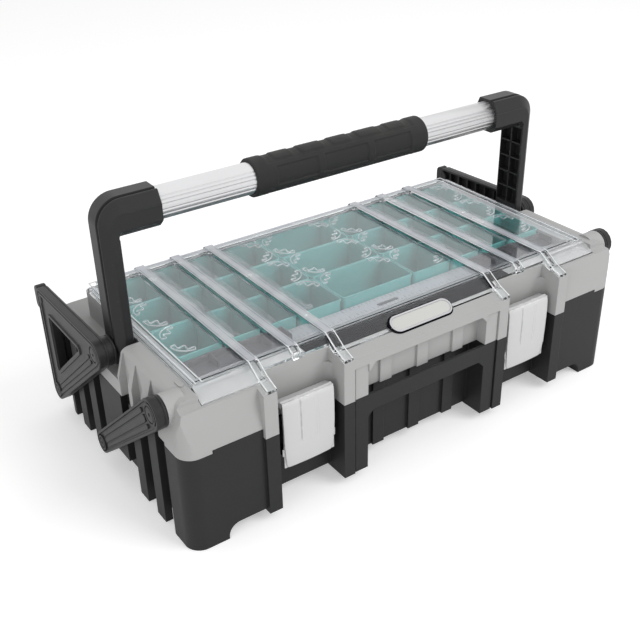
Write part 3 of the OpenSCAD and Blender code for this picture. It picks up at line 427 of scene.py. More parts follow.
def finish_piece(name, bm, material, body, replaces=(), weighted=True):
    """Turns a bmesh into a piece of the object."""
    mesh = bpy.data.meshes.new(name)
    bm.to_mesh(mesh)
    bm.free()
    piece = bpy.data.objects.new(name, mesh)
    bpy.context.scene.collection.objects.link(piece)
    mesh.materials.append(material)
    if weighted:
        flat = piece.modifiers.new("flat faces", "WEIGHTED_NORMAL")
        flat.keep_sharp = True
    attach(piece, body)
    if replaces:
        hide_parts(*replaces)
    return piece


def stand_in(node, bm, material, suffix="_moulding", weighted=True):
    """Turns a bmesh into the piece that replaces a CAD node, on its body."""
    return finish_piece(node + suffix, bm, material, NODES[node]["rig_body"],
                        replaces=[node], weighted=weighted)


def rounded_bmesh(node, width):
    """A merged copy of a CAD node's mesh with its edges rounded."""
    bm = bmesh.new()
    bm.from_mesh(NODES[node].data)
    bmesh.ops.remove_doubles(bm, verts=bm.verts, dist=MERGE)
    bmesh.ops.dissolve_degenerate(bm, edges=bm.edges, dist=1e-6)
    bmesh.ops.dissolve_limit(bm, angle_limit=FLAT, verts=bm.verts, edges=bm.edges)
    soften(bm, width)
    shade(bm)
    return bm


def grow(bm, faces, move):
    """Extrudes faces by a move and returns the new faces; a face that stood alone stays as a cap."""
    alone = all(e.is_boundary for f in faces for e in f.edges)
    got = bmesh.ops.extrude_face_region(bm, geom=faces)["geom"]
    bmesh.ops.translate(bm, verts=[g for g in got if isinstance(g, bmesh.types.BMVert)], vec=move)
    if not alone:
        bmesh.ops.delete(bm, geom=[f for f in faces if f.is_valid], context="FACES_ONLY")
    return [g for g in got if isinstance(g, bmesh.types.BMFace)]


def loft(bm, loops, closed=False):
    """Skins loops of points in mm; open ends are capped, a closed loft returns to its first loop."""
    rings = [[bm.verts.new(Vector(p) * MM) for p in loop] for loop in loops]
    for a, b in list(zip(rings, rings[1:])) + ([(rings[-1], rings[0])] if closed else []):
        for i in range(len(a)):
            j = (i + 1) % len(a)
            bm.faces.new((a[i], a[j], b[j], b[i]))
    if not closed:
        bm.faces.new(rings[0][::-1])
        bm.faces.new(rings[-1])


def ribbon(bm, path, width, height, closed=False):
    """A rib of rectangular section along a path in mm that runs along the middle of its top."""
    rings = []
    last = len(path) - 1
    for i, point in enumerate(path):
        before, after = (i - 1, (i + 1) % len(path)) if closed else (max(i - 1, 0), min(i + 1, last))
        across = Z.cross(path[after] - path[before]).normalized() * (width / 2)
        down = Z * height
        rings.append((point - across, point + across, point + across - down, point - across - down))
    loft(bm, rings, closed)


def block(bm, low, high):
    """Adds a plain box given by its corners in mm."""
    low, high = Vector(low) * MM, Vector(high) * MM
    made = bmesh.ops.create_cube(bm, size=1.0)["verts"]
    bmesh.ops.scale(bm, verts=made, vec=high - low)
    bmesh.ops.translate(bm, verts=made, vec=(low + high) / 2)


# Cups

def narrow(bm, faces, mid, half, inset):
    """Draws the rim of the faces in by the inset, from the half sizes that it has now."""
    factor = [(h - inset) / h for h in half]
    bmesh.ops.scale(bm, verts=list({v for f in faces for v in f.verts}), vec=(*factor, 1),
                    space=Matrix.Translation((-mid.x, -mid.y, 0)))
    return [h - inset for h in half]


CUP_CORNER, CUP_WALL, RIM_ROUND = 4.0, 1.4, 0.4


def build_cup(node):
    """A loose cup: round corners, a collar under the rim, walls with draft and a round floor."""
    low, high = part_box(node)
    mid, size = (low + high) / 2, high - low
    bm = bmesh.new()
    bmesh.ops.create_grid(bm, x_segments=1, y_segments=1, size=0.5)
    bmesh.ops.scale(bm, verts=bm.verts, vec=(size.x, size.y, 1))
    bmesh.ops.translate(bm, verts=bm.verts, vec=(mid.x, mid.y, high.z))
    bevel(bm, list(bm.verts), CUP_CORNER * MM, segments=5, affect="VERTICES")
    bm.faces.ensure_lookup_table()
    top = [bm.faces[0]]
    plain = size.z / MM - 5.0
    # outside: rim, collar, drafted wall and round floor edge
    half = [size.x / 2, size.y / 2]
    face = top
    for down, inset in ((2.4, 0.0), (0.4, 0.5), (plain, 0.6), (1.5, 0.7), (0.7, 1.2)):
        face = grow(bm, face, (0, 0, -down * MM))
        if inset:
            half = narrow(bm, face, mid, half, inset * MM)
    # inside: wall, round floor edge
    bmesh.ops.inset_region(bm, faces=top, thickness=CUP_WALL * MM, depth=0.0)
    half = [size.x / 2 - CUP_WALL * MM, size.y / 2 - CUP_WALL * MM]
    face = top
    for down, inset in ((plain, 0.9), (2.3, 0.9), (1.2, 2.4)):
        face = grow(bm, face, (0, 0, -down * MM))
        half = narrow(bm, face, mid, half, inset * MM)
    bmesh.ops.recalc_face_normals(bm, faces=bm.faces)
    rim = [e for e in bm.edges if all(abs(v.co.z - high.z) < 1e-6 for v in e.verts)
           and e.calc_face_angle(0.0) > math.radians(60)]
    bevel(bm, rim, RIM_ROUND * MM)
    shade(bm)
    stand_in(node, bm, CUP_TEAL, suffix="_tray")


for node in sorted(NODES):
    if node.startswith("cup_"):
        build_cup(node)


# Grip

GRIP_BORE = 15.5
AROUND, ALONG = 168, 208
# mm along the surface of the grip for each degree round it
MM_PER_DEGREE = 0.31
PADS = ((-81, -57), (-50, -20), (-13, 13), (20, 50), (57, 81))
PANELS = ((-82, -34), (-27, 27), (34, 82))


def smooth_step(a, b, v):
    """0 below a, 1 above b and an even curve between."""
    t = min(max((v - a) / (b - a), 0.0), 1.0)
    return t * t * (3 - 2 * t)


def box_mask(u, v, u0, u1, v0, v1, edge, corner=0.0):
    """1 inside the rounded rectangle, falling to 0 over the edge width."""
    du = abs(u - (u0 + u1) / 2) - (u1 - u0) / 2 + corner
    dv = abs(v - (v0 + v1) / 2) - (v1 - v0) / 2 + corner
    outside = math.hypot(max(du, 0), max(dv, 0)) + min(max(du, dv), 0) - corner
    return 1 - smooth_step(-edge, 0.0, outside)


def grip_drop(x, arc, half):
    """How deep the grip's skin lies under its outer radius; arc grows from the front to the top."""
    swell = max((box_mask(x, arc, a, b, 17.5, 36.0, 2.2, 4.0) for a, b in PADS))
    drop = 1.3 - 0.95 * swell
    if -24 < arc < 15.5:
        sunk = max((box_mask(x, arc, a, b, -7.5, 11.5, 0.7, 1.5) for a, b in PANELS))
        drop = 0.45 + 1.15 * sunk
    collar = smooth_step(86, 91, abs(x))
    drop = drop * (1 - collar) + 0.25 * collar
    return drop + 0.9 * smooth_step(half - 1.6, half, abs(x)) ** 2


def build_grip():
    """The rubber grip: collars, a row of finger pads along the top and three sunk panels in front."""
    low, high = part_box("grip")
    centre = (low + high) / 2
    half, r_out = (high.x - low.x) / 2, (high.z - low.z) / 2
    bm = bmesh.new()
    bmesh.ops.create_cone(bm, cap_ends=True, segments=AROUND, radius1=r_out, radius2=r_out,
                          depth=2 * half,
                          matrix=Matrix.Translation(centre) @ Matrix.Rotation(math.pi / 2, 4, "Y"))
    caps = [f for f in bm.faces if len(f.verts) > 4]
    sides = [e for e in bm.edges if abs(e.verts[0].co.x - e.verts[1].co.x) > half]
    bmesh.ops.subdivide_edges(bm, edges=sides, cuts=ALONG - 1, use_grid_fill=True)
    for vert in bm.verts:
        axis = Vector((vert.co.x, centre.y, centre.z))
        side = vert.co - axis
        if side.length < 1e-6:
            continue
        arc = math.degrees(math.atan2(side.z, -side.y)) * MM_PER_DEGREE
        drop = grip_drop((vert.co.x - centre.x) / MM, arc, half / MM)
        side.normalize()
        vert.co = axis + side * (r_out - drop * MM)
    # open the ends for the tube
    for cap in caps:
        bmesh.ops.inset_region(bm, faces=[cap], thickness=r_out - (0.9 + GRIP_BORE) * MM, depth=0.0)
    bmesh.ops.delete(bm, geom=caps, context="FACES_ONLY")
    bmesh.ops.bridge_loops(bm, edges=[e for e in bm.edges if e.is_boundary])
    close_up(bm, math.radians(50))
    stand_in("grip", bm, GRIP_RUBBER, suffix="_sleeve", weighted=False)


build_grip()


# Lid

def lid_height(y):
    """Height of the lid's skin at y, in mm."""
    return LID_TOP - max(LID_EDGE_Y - y, 0.0) * SLOPE_FALL / (LID_EDGE_Y - SLOPE_Y)


def add_to_lid(name, bm, material):
    """A piece that lies on the lid or under it."""
    finish_piece(name, bm, material, "lid", weighted=False)


CLEAR, HAZED, SATIN_SHEEN, LIT_EDGE, SHADED_WALL, SLOPE_SHEEN = range(6)


def lid_finish(x, y, z, normal):
    """Which of its six finishes a face of the lid has."""
    on_strap = min(abs(abs(x) - middle) for middle in STRAP_X) < STRAP_HALF + 0.1
    on_top = y > LID_EDGE_Y - 0.5
    if on_strap and z > lid_height(y) + 0.4:
        # strap sides: where they turn up, and down the slope, a whitened finish as painted highlight;
        # the upright sides on top a dark teal finish as painted shade
        if abs(normal.x) > 0.15:
            return LIT_EDGE if normal.z > 0.2 or not on_top else SHADED_WALL
        return SATIN_SHEEN if on_top and normal.z > 0.8 else CLEAR
    if on_top and normal.z > 0.9 and z > LID_TOP - 0.3:
        return HAZED
    if not on_top and abs(x) > STRAP_X[1] and normal.z > 0.5:
        return SLOPE_SHEEN
    return CLEAR


def build_lid():
    """The clear lid: a pale haze on top and pale straps as painted reflection, painted highlight along
    the strap edges and painted shade on their upright sides.
    """
    piece = stand_in("lid", rounded_bmesh("lid", 0.4 * MM), LID_CLEAR)
    for material in (LID_HAZE, LID_SATIN_SHEEN, LID_RIB_HIGHLIGHT, LID_DEEP_SHADE, LID_SLOPE_SHEEN):
        piece.data.materials.append(material)
    for face in piece.data.polygons:
        face.material_index = lid_finish(*(face.center / MM), face.normal)


def curl_path(cx, cy, sx, sy, steps=30):
    """A closed curl in the corner of a cup: smooth towards the corner, wavy towards the middle."""
    reach, start, waves = 17.0, 2.4, 5
    path = []
    for i in range(11):
        w = math.radians(9 * i)
        path.append((start + reach * (1 - math.sin(w)), start + reach * (1 - math.cos(w))))
    for i in range(1, steps):
        t = i / steps
        out = 2.0 * math.sin(math.pi * t) ** 0.5 + 2.6 * math.sin(waves * math.pi * t)
        path.append((start + reach * t + out * 0.7, start + reach * (1 - t) + out * 0.7))
    return [Vector((cx + sx * u, cy + sy * v, LID_TOP - LID_T + 0.05)) for u, v in path]


def build_curls():
    """Curled ribs under the lid that close the corners of the cups."""
    bm = bmesh.new()
    end, both = COL_X[-1] - 1.0, (-1, 1)
    spots = [(s * COL_X[0], y, way, t) for s in both for y in ROW_Y[1:] for way in both for t in both]
    spots += [(s * end, y, -s, t) for s in both for y in ROW_Y for t in both]
    spots += [(s * (COL_X[1] + 1), ROW_Y[0] + 1, -s, 1) for s in both]
    for cx, cy, sx, sy in spots:
        if ROW_Y[0] < cy + 9 * sy < ROW_Y[3]:
            ribbon(bm, curl_path(cx, cy, sx, sy), 0.7, 1.2, closed=True)
    close_up(bm)
    add_to_lid("lid_curls", bm, LID_CURL)


# how far the rim ribs lie in from the lid's ends (at the rear 2 mm less), and the band's edges
# from its rear
RIM_INSETS, BAND_INSETS = (4.5, 10.5), (3.1, 7.9)


def build_lid_rim():
    """Two ribs along the ends and the rear of the lid's top, whitened as painted highlight, with a
    satin band between them tinted pale as painted reflection.
    """
    bm = bmesh.new()
    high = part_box("lid")[1] / MM
    for inset in RIM_INSETS:
        hx, y1 = high.x - inset, high.y - inset + 2
        path = [Vector((x, y, LID_TOP + 0.9))
                for x, y in ((-hx, LID_EDGE_Y), (-hx, y1), (hx, y1), (hx, LID_EDGE_Y))]
        for a, b in zip(path, path[1:]):
            ribbon(bm, [a, b], 1.1, 1.0)
    bmesh.ops.recalc_face_normals(bm, faces=bm.faces)
    soften(bm, 0.25 * MM)
    shade(bm)
    add_to_lid("lid_rim", bm, LID_RIB_HIGHLIGHT)
    bm = bmesh.new()
    y1, y0 = (high.y - inset for inset in BAND_INSETS)
    block(bm, (11 - high.x, y0, LID_TOP - 0.1), (high.x - 11, y1, LID_TOP + 0.35))
    soften(bm, 0.15 * MM)
    shade(bm)
    add_to_lid("lid_rear_band", bm, LID_SATIN_SHEEN)


def build_strap_shade():
    """Dark teal bands under the skin of the lid beside each strap, a lighter teal band beyond them,
    and a thin dark line along each edge of each strap, all painted shade."""
    # the first mesh holds the dark bands and edge lines, the second the lighter band; all are painted
    # shade
    deep, shaded = bmesh.new(), bmesh.new()
    under, top = LID_TOP - LID_T, LID_TOP + STRAP_RISE
    for x in STRAP_MIDDLES:
        # dark bands and a lighter band under the skin beside each strap, as painted shade
        for bm, a, b in ((deep, -7.6, -5.2), (deep, 4.8, 11.0), (shaded, 11.1, 16.5)):
            block(bm, (x + a, CUPS_FRONT, under - 0.45), (x + b, CUPS_BACK, under - 0.02))
        # thin dark lines along the strap's top edges, as painted shade
        for edge in (x - 3.4, x + 3.4):
            block(deep, (edge - 0.3, LID_EDGE_Y + 2, top - 0.2), (edge + 0.3, CUPS_BACK, top + 0.02))
    for name, bm, material in (("strap_feet", deep, LID_DEEP_SHADE), ("strap_shade", shaded, LID_SHADE)):
        shade(bm)
        add_to_lid(name, bm, material)


def build_leg_edges():
    """Painted highlight lines down both sides of the strap legs, laid on the lid's own surface."""
    source = bmesh.new()
    source.from_mesh(NODES["lid"].data)
    surface = BVHTree.FromBMesh(source)
    bm = bmesh.new()
    for x in STRAP_MIDDLES:
        for side in (-4.4, 4.4):
            path, y = [], LID_EDGE_Y + 3
            while y > FRONT_Y + 0.3:
                spot = surface.ray_cast(Vector((x + side, y, LID_TOP + 20)) * MM, -Z)[0]
                if spot is None or (path and abs(spot.z / MM - path[-1].z) > 3):
                    break
                path.append(spot / MM + Z * 0.12)
                y -= 1.4
            if len(path) > 2:
                ribbon(bm, path, 0.9, 0.5)
    source.free()
    close_up(bm)
    add_to_lid("strap_leg_edges", bm, LID_RIB_HIGHLIGHT)


build_lid()
build_curls()
build_lid_rim()
build_strap_shade()
build_leg_edges()


# Links and arms

def rounded_loop(corners, inset, least=0.9, steps=8):
    """Points round corner circles (y, z, radius), anticlockwise, drawn in by the inset."""
    lines = []
    for i, (y0, z0, r0) in enumerate(corners):
        y1, z1, r1 = corners[(i + 1) % len(corners)]
        run = math.hypot(y1 - y0, z1 - z0)
        w = math.atan2(z1 - z0, y1 - y0) - math.pi / 2 + math.asin((r0 - r1) / run)
        lines.append((w, math.cos(w) * y0 + math.sin(w) * z0 + r0 - inset))
    points = []
    for i, (y, z, r) in enumerate(corners):
        (w0, d0), (w1, d1) = lines[i - 1], lines[i]
        round_r = max(r - inset, least)
        if round_r > r - inset:
            a, b = d0 - round_r, d1 - round_r
            det = math.sin(w1 - w0)
            y = (a * math.sin(w1) - b * math.sin(w0)) / det
            z = (b * math.cos(w0) - a * math.cos(w1)) / det
        sweep = (w1 - w0) % (2 * math.pi)
        for k in range(steps + 1):
            w = w0 + sweep * k / steps
            points.append((y + round_r * math.cos(w), z + round_r * math.sin(w)))
    return points


def relief(bm, s, corners, profile, hole=None, hole_profile=()):
    """A plate with relief on its outer face; a profile lists (inset, distance from the middle)."""
    loops = [[(s * x, y, z) for y, z in rounded_loop(corners, inset)] for inset, x in profile]
    loops += [[(s * x, y, z) for y, z in rounded_loop(hole, inset)] for inset, x in hole_profile]
    loft(bm, loops, closed=hole is not None)


def pivot_disc(bm, s, y, z, profile, steps=40):
    """A round boss; its profile lists (radius, distance from the middle)."""
    turns = [2 * math.pi * k / steps for k in range(steps)]
    loft(bm, [[(s * x, y + r * math.cos(w), z + r * math.sin(w)) for w in turns] for r, x in profile])


def long_rib(bm, s, a, b, at_a, at_b, start, stop, r_a, r_b, low, high):
    """A tapering rib beside the line from a to b; at_a and at_b are its distances from that line."""
    length = (b - a).length
    along = (b - a).normalized()
    across = Vector((-along.y, along.x))
    p, q = (a + along * u + across * (at_a + (at_b - at_a) * u / length)
            for u in (start, length - stop))
    relief(bm, s, [(p.x, p.y, r_a), (q.x, q.y, r_b)], [(0, low), (0, high - 0.35), (0.35, high)])


LINK_IN, LINK_OUT = CASE_HX + LINK_GAP, CASE_HX + LINK_GAP + LINK_T
SIDE_WALL = [(0.8, LINK_IN), (0, LINK_IN + 0.8), (0, LINK_IN + 2.4), (0.7, LINK_IN + 2.7),
             (0.7, LINK_IN + 3.5), (0, LINK_IN + 3.8), (0, LINK_OUT - 0.8), (0.7, LINK_OUT)]
# how far the pivot discs step in from their radius and down from the link's outer face
DISC_STEPS = ((0, 2.0), (0, 0.3), (0.3, 0), (2.0, 0), (2.2, 1.1), (3.2, 1.1), (3.4, 0.2), (3.8, 0))
UPPER_DISC, LOWER_DISC = 10.6, 8.0


def build_pivot_discs(bm, s, a, b):
    """The discs round the upper and the lower pivot of a link."""
    for (y, z), r in ((a, UPPER_DISC), (b, LOWER_DISC)):
        pivot_disc(bm, s, y, z, [(r - inward, LINK_OUT - down) for inward, down in DISC_STEPS]
                   + [(1.7, LINK_OUT), (1.5, LINK_OUT - 0.9)])


def build_front_link(node, s):
    """A straight link: raised rim, three long ribs and the pivot discs."""
    low, high = (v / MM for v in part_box(node))
    a = Vector((low.y + HUB_R, high.z - HUB_R))
    b = Vector((high.y - LOW_R, low.z + LOW_R))
    floor = LINK_OUT - 1.7
    bm = bmesh.new()
    relief(bm, s, [(*a, HUB_R), (*b, LOW_R)], SIDE_WALL + [(2.3, LINK_OUT), (2.7, floor)])
    for at_a, at_b, r_a, r_b in ((-8.0, -5.6, 2.3, 1.7), (0, 0, 3.6, 2.4), (8.0, 5.6, 2.3, 1.7)):
        long_rib(bm, s, a, b, at_a, at_b, 19, 17, r_a, r_b, floor - 0.2, LINK_OUT - 0.2)
    build_pivot_discs(bm, s, a, b)
    close_up(bm)
    stand_in(node, bm, BLACK_ARM)


REAR_LOW_Y = 133.1


def build_rear_link(node, s):
    """A triangular link: nested rims round its opening, ribs along the bar and a long inner hub."""
    low, high = (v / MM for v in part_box(node))
    back = high.y
    a = Vector((low.y + HUB_R, high.z - HUB_R))
    b = Vector((REAR_LOW_Y, low.z + LOW_R))
    top = a.y + 11.0
    along = (b - a).normalized()
    across = Vector((-along.y, along.x))
    # the corners of the opening
    start = a + across * 13
    iy, iz = back - 34, top - 26
    ha = start + along * ((iz - start.y) / along.y)
    hb = start + along * ((iy - start.x) / along.x)
    floor, rib = LINK_OUT - 1.5, LINK_OUT - 0.3
    rim = [(2.4, LINK_OUT), (2.8, floor), (4.2, floor), (4.6, rib), (7.4, rib), (7.8, floor)]
    bm = bmesh.new()
    relief(bm, s, [(*a, HUB_R), (*b, LOW_R), (back - 14.5, top - 7, 7.0)],
           [(2.4, LINK_IN + 6), (2.4, LINK_IN)] + SIDE_WALL + rim,
           hole=[(ha.x + 6, ha.y - 1.4, 1.0), (hb.x - 1.4, hb.y + 6, 1.0), (iy - 1.4, iz - 1.4, 1.0)],
           hole_profile=[(-5.0, floor), (-4.6, LINK_OUT - 0.1), (-1.6, LINK_OUT - 0.1),
                         (-1.2, LINK_OUT - 1.4), (0.0, LINK_OUT - 1.8), (0.0, LINK_IN),
                         (-2.0, LINK_IN), (-2.0, LINK_IN + 6)])
    # ribs on the inner side of the wide end
    near, far = sorted((s * LINK_IN, s * (LINK_IN + 6.5)))
    for k in range(7):
        y = 28 + 16 * k
        block(bm, (near, y, iz + 1), (far, y + 1.4, top - 1.5))
    # the toe at the top of the back edge
    relief(bm, s, [(back - 5, top - 21, 5.0), (back - 6, top - 6.2, 6.0), (back - 12, top - 12, 6.0)],
           [(0.8, LINK_IN + 0.1), (0, LINK_IN + 0.9), (0, LINK_OUT - 1.0), (0.6, LINK_OUT - 0.4)])
    for at_a, at_b, r_a, r_b in ((-3.4, -0.6, 2.1, 1.6), (2.6, 3.8, 1.9, 1.5)):
        long_rib(bm, s, a, b, at_a, at_b, 18, 17, r_a, r_b, floor - 0.2, LINK_OUT - 0.2)
    build_pivot_discs(bm, s, a, b)
    r = HUB_R - 0.5
    inner = min(abs(low.x), abs(high.x))
    pivot_disc(bm, s, *a, [(r - 0.6, inner), (r, inner + 0.6), (r, inner + 2.0),
                           (r - 0.8, inner + 2.3), (r - 0.8, inner + 3.2), (r, inner + 3.5),
                           (r, LINK_IN + 0.5)])
    close_up(bm)
    stand_in(node, bm, BLACK_ARM)


ARM_DEEP, SLEEVE_HIGH = 17.0, 36.0
ARM_ELBOW, ARM_NOOK = 24.0, 1.5
ARM_RIDGE = 0.3
POCKET_DEEP = 10.0


def arm_profile(half, depth, deep, ridge):
    """The arm's section: (distance in from the outer side, y) round from the rear of the groove."""
    crown = min(0.5 * depth, 12.0)
    foot = 0.8 + (min(0.2 * depth, 7.0) - 0.8) * ridge / ARM_RIDGE
    mid = crown + 1.2
    rim = half - foot - 0.8
    return [(0, 11), (0, -4.6), (2.6, -5.4), (2.6, -7.8), (0.3, -9.4), (0.4, -10.2), (0.8, -11.0),
            (crown - 0.5, -half + 0.3), (crown + 0.3, -half),
            (mid - 0.5, -half), (mid, -half - ridge), (mid + 0.5, -half),
            (depth - foot - 0.4, -half), (depth - foot + 0.3, -half + 0.5), (depth - 0.5, -half + foot),
            (depth, -rim), (depth - deep, -rim + 0.1), (depth - deep, rim - 0.1), (depth, rim),
            (depth - 0.5, half - foot), (depth - foot + 0.3, half - 0.5), (depth - foot - 0.4, half),
            (crown + 0.3, half), (crown - 0.5, half - 0.3), (0.4, 11.6)]


def build_arm(node, s):
    """A handle arm: one skin swept up the post, round the elbow and along the sleeve, with a groove
    round its outer side, wide outer chamfers and open pockets on the inner side of the post."""
    low, high = (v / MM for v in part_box(node))
    outer, end = max(abs(low.x), abs(high.x)), min(abs(low.x), abs(high.x))
    inner, under = outer - ARM_DEEP, high.z - SLEEVE_HIGH
    half = (high.y - low.y) / 2
    hub = low.z + half
    # outer point, inner point, share of the width, depth of the pocket, height of the ridge
    stations = []
    for k in range(9):
        z = low.z + 0.6 + (half - 0.6) * (1 - math.cos(math.pi / 2 * k / 8))
        wide = math.sqrt(max(half * half - (z - hub) ** 2, 4.0))
        stations.append(((outer, z), (inner, z), wide / half, 0.0, 0.0))
    pocket_low, pocket_high = hub + HUB_R + 3, under - 3
    for z, deep in ((pocket_low, 0.0), (pocket_low + 0.05, POCKET_DEEP), (pocket_high, POCKET_DEEP),
                    (pocket_high + 0.05, 0.0)):
        stations.append(((outer, z), (inner, z), 1.0, deep, 0.0))
    for k in range(13):
        w = math.pi / 2 * k / 12
        bend, fold = ((r * math.cos(w) - r, r * math.sin(w) - r) for r in (ARM_ELBOW, ARM_NOOK))
        stations.append(((outer + bend[0], high.z + bend[1]), (inner + fold[0], under + fold[1]),
                         1.0, 0.0, ARM_RIDGE * k / 12))
    stations += [((end + 0.5, high.z), (end + 0.5, under), 1.0, 0.0, ARM_RIDGE),
                 ((end, high.z - 0.4), (end, under + 0.4), 0.985, 0.0, ARM_RIDGE)]
    loops = []
    for (ox, oz), (ix, iz), wide, deep, ridge in stations:
        depth = math.hypot(ox - ix, oz - iz)
        loop = []
        for t, y in arm_profile(half, depth, deep, ridge):
            t = min(max(t / depth, 0.0), 1.0)
            loop.append((s * (ox + (ix - ox) * t), y * wide, oz + (iz - oz) * t))
        loops.append(loop)
    bm = bmesh.new()
    loft(bm, loops)
    # webs that part the pockets
    near, far = sorted((s * (inner + 0.6), s * (inner + 10.5)))
    block(bm, (near, -0.7, pocket_low), (far, 0.7, pocket_high))
    for k in range(1, 5):
        z = pocket_low + (pocket_high - pocket_low) * k / 5
        block(bm, (near, -half + 1.2, z - 0.7), (far, half - 1.2, z + 0.7))
    close_up(bm, math.radians(30))
    stand_in(node, bm, BLACK_ARM)


for build, limb in ((build_arm, "arm"), (build_front_link, "front_link"),
                    (build_rear_link, "rear_link")):
    build(limb + "_left", -1)
    build(limb + "_right", 1)


# Latches and tube

LATCH_HALF, LATCH_SKIN, LATCH_LIP = 28.0, 2.2, 4.5
LATCH_COLS, LATCH_ROWS = 84, 96


def latch_groove(x, z, at, width, depth, until):
    """How deep a point lies in the groove at x = at, which fades out towards its lower end."""
    fade = min(max((z - until) / 6.0, 0.0), 1.0)
    return depth * fade * max(1 - abs(x - at) / width, 0.0)


def latch_point(u, rise, front, foot, top):
    """A point of the latch's front: u runs from -1 to 1 across it, rise from 0 to 1 up it."""
    z = foot + (top - foot) * rise
    x = u * LATCH_HALF * (1 - 0.085 * max(1 - rise / 0.5, 0.0) ** 1.5)
    y = front + 1.0 * u * u + 1.1 * (2 * rise - 1) ** 4
    y += latch_groove(x, z, -9.5, 0.8, 1.3, foot + 22) + latch_groove(x, z, 9.0, 2.2, 0.8, foot + 20)
    y += 3.6 * max((z - (top - LATCH_LIP)) / LATCH_LIP, 0.0) ** 2.2
    # round lower corners
    z += 260 * max(abs(u) - 0.9, 0.0) ** 2 * max(1 - rise * 6, 0.0)
    return Vector((x, y, z))


def build_latch(node):
    """A latch: a bowed plate with a folded lip and two grooves, on the node's hook and barrel."""
    low, high = (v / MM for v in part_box(node))
    mid = (low.x + high.x) / 2
    cols, rows = LATCH_COLS, LATCH_ROWS
    bm = rounded_bmesh(node, 0.4 * MM)
    # the node's own front goes, the bowed plate takes its place
    bmesh.ops.bisect_plane(bm, geom=list(bm.verts) + list(bm.edges) + list(bm.faces), dist=1e-7,
                           plane_co=Vector((0, low.y + 2.6, 0)) * MM, plane_no=Y, clear_inner=True)
    bmesh.ops.holes_fill(bm, edges=[e for e in bm.edges if e.is_boundary], sides=0)
    rings = [[latch_point(2 * i / cols - 1, k / rows, low.y, low.z, high.z) + Vector((mid, 0, 0))
              for i in range(cols + 1)] for k in range(rows + 1)]
    outer = [[bm.verts.new(p * MM) for p in ring] for ring in rings]
    inner = [[bm.verts.new((p + Y * (LATCH_SKIN if k < rows - 3 else 1.6)) * MM) for p in ring]
             for k, ring in enumerate(rings)]
    for k in range(rows):
        for i in range(cols):
            bm.faces.new((outer[k][i], outer[k][i + 1], outer[k + 1][i + 1], outer[k + 1][i]))
            bm.faces.new((inner[k][i + 1], inner[k][i], inner[k + 1][i], inner[k + 1][i + 1]))
    for k in range(rows):
        for i, a, b in ((0, outer, inner), (cols, inner, outer)):
            bm.faces.new((b[k][i], a[k][i], a[k + 1][i], b[k + 1][i]))
    for i in range(cols):
        for k, a, b in ((0, inner, outer), (rows, outer, inner)):
            bm.faces.new((a[k][i], a[k][i + 1], b[k][i + 1], b[k][i]))
    close_up(bm)
    stand_in(node, bm, LATCH_SILVER, weighted=False)


# where the flutes lie, in degrees up from straight ahead
TUBE_FLUTES = (41.0, 27.0, 13.0, -7.0, -25.0)
FLUTE_DEEP, FLUTE_HALF = 0.9, 3.2


def build_tube():
    """The handle tube, smooth on top with five flutes along its front."""
    low, high = (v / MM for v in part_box("tube"))
    cy, cz, r = (low.y + high.y) / 2, (low.z + high.z) / 2, (high.z - low.z) / 2
    loops = []
    for x, draw in ((low.x, 0.5), (low.x + 0.5, 0.0), (high.x - 0.5, 0.0), (high.x, 0.5)):
        loop = []
        for k in range(240):
            turn = (1.5 * k + 180) % 360 - 180
            w = math.radians(turn)
            off = min(abs(turn - f) for f in TUBE_FLUTES)
            dip = FLUTE_DEEP * math.cos(min(off / FLUTE_HALF, 1.0) * math.pi / 2) ** 0.7
            reach = r - draw - dip
            loop.append((x, cy - reach * math.cos(w), cz + reach * math.sin(w)))
        loops.append(loop)
    bm = bmesh.new()
    loft(bm, loops)
    close_up(bm, math.radians(50))
    stand_in("tube", bm, TUBE_ALUMINIUM, suffix="_drawn", weighted=False)


build_latch("latch_left")
build_latch("latch_right")
build_tube()


# Shelf trays, ruler marks and badge

TRAY_WALL, TRAY_DIVIDERS = 1.2, (142.0, 166.0, 198.0)


def build_shelf_tray(name, s):
    """Open trays with thin dividers on the shelf beside the ruler, darkened as painted shade."""
    bm = bmesh.new()
    x0, x1 = 119.5, COL_X[-1] - 0.5
    y0, y1 = -91.0, CUPS_FRONT - 1.0
    floor, top = SHELF_Z + 0.1, SHELF_Z + 9.0
    parts = [(x0, x1, y0, floor + 0.8)]
    parts += [(x, x + TRAY_WALL, y0, top) for x in (x0, *TRAY_DIVIDERS, x1 - TRAY_WALL)]
    parts += [(x0, x1, y1 - TRAY_WALL, top - 1.0)]
    for a, b, y, z in parts:
        a, b = sorted((s * a, s * b))
        block(bm, (a, y, floor), (b, y1, z))
    soften(bm, 0.2 * MM)
    shade(bm)
    finish_piece(name, bm, SHELF_SHADE, "case", weighted=False)


def build_ruler_marks():
    """Centimetre and half-centimetre ticks along both edges of the ruler."""
    bm = bmesh.new()
    low, high = (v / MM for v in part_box("ruler"))
    half = round(high.x) - 3
    for x in range(-half + half % 5, half, 5):
        reach = 5.0 if x % 10 == 0 else 2.8
        for y, way in ((low.y + 1.0, 1), (high.y - 1.0, -1)):
            a, b = sorted((y, y + way * reach))
            block(bm, (x - 0.25, a, high.z - 0.02), (x + 0.25, b, high.z + 0.04))
    finish_piece("ruler_marks", bm, INK_GREY, "case", weighted=False)


def stadium(reach, r, y, z, steps):
    """A loop with half-round ends round two centres at x = reach and x = -reach, in mm."""
    return [(side * reach + r * math.cos(w), y + r * math.sin(w), z)
            for side, first in ((1, -90), (-1, 90))
            for w in (math.radians(first + 180 * k / steps) for k in range(steps + 1))]


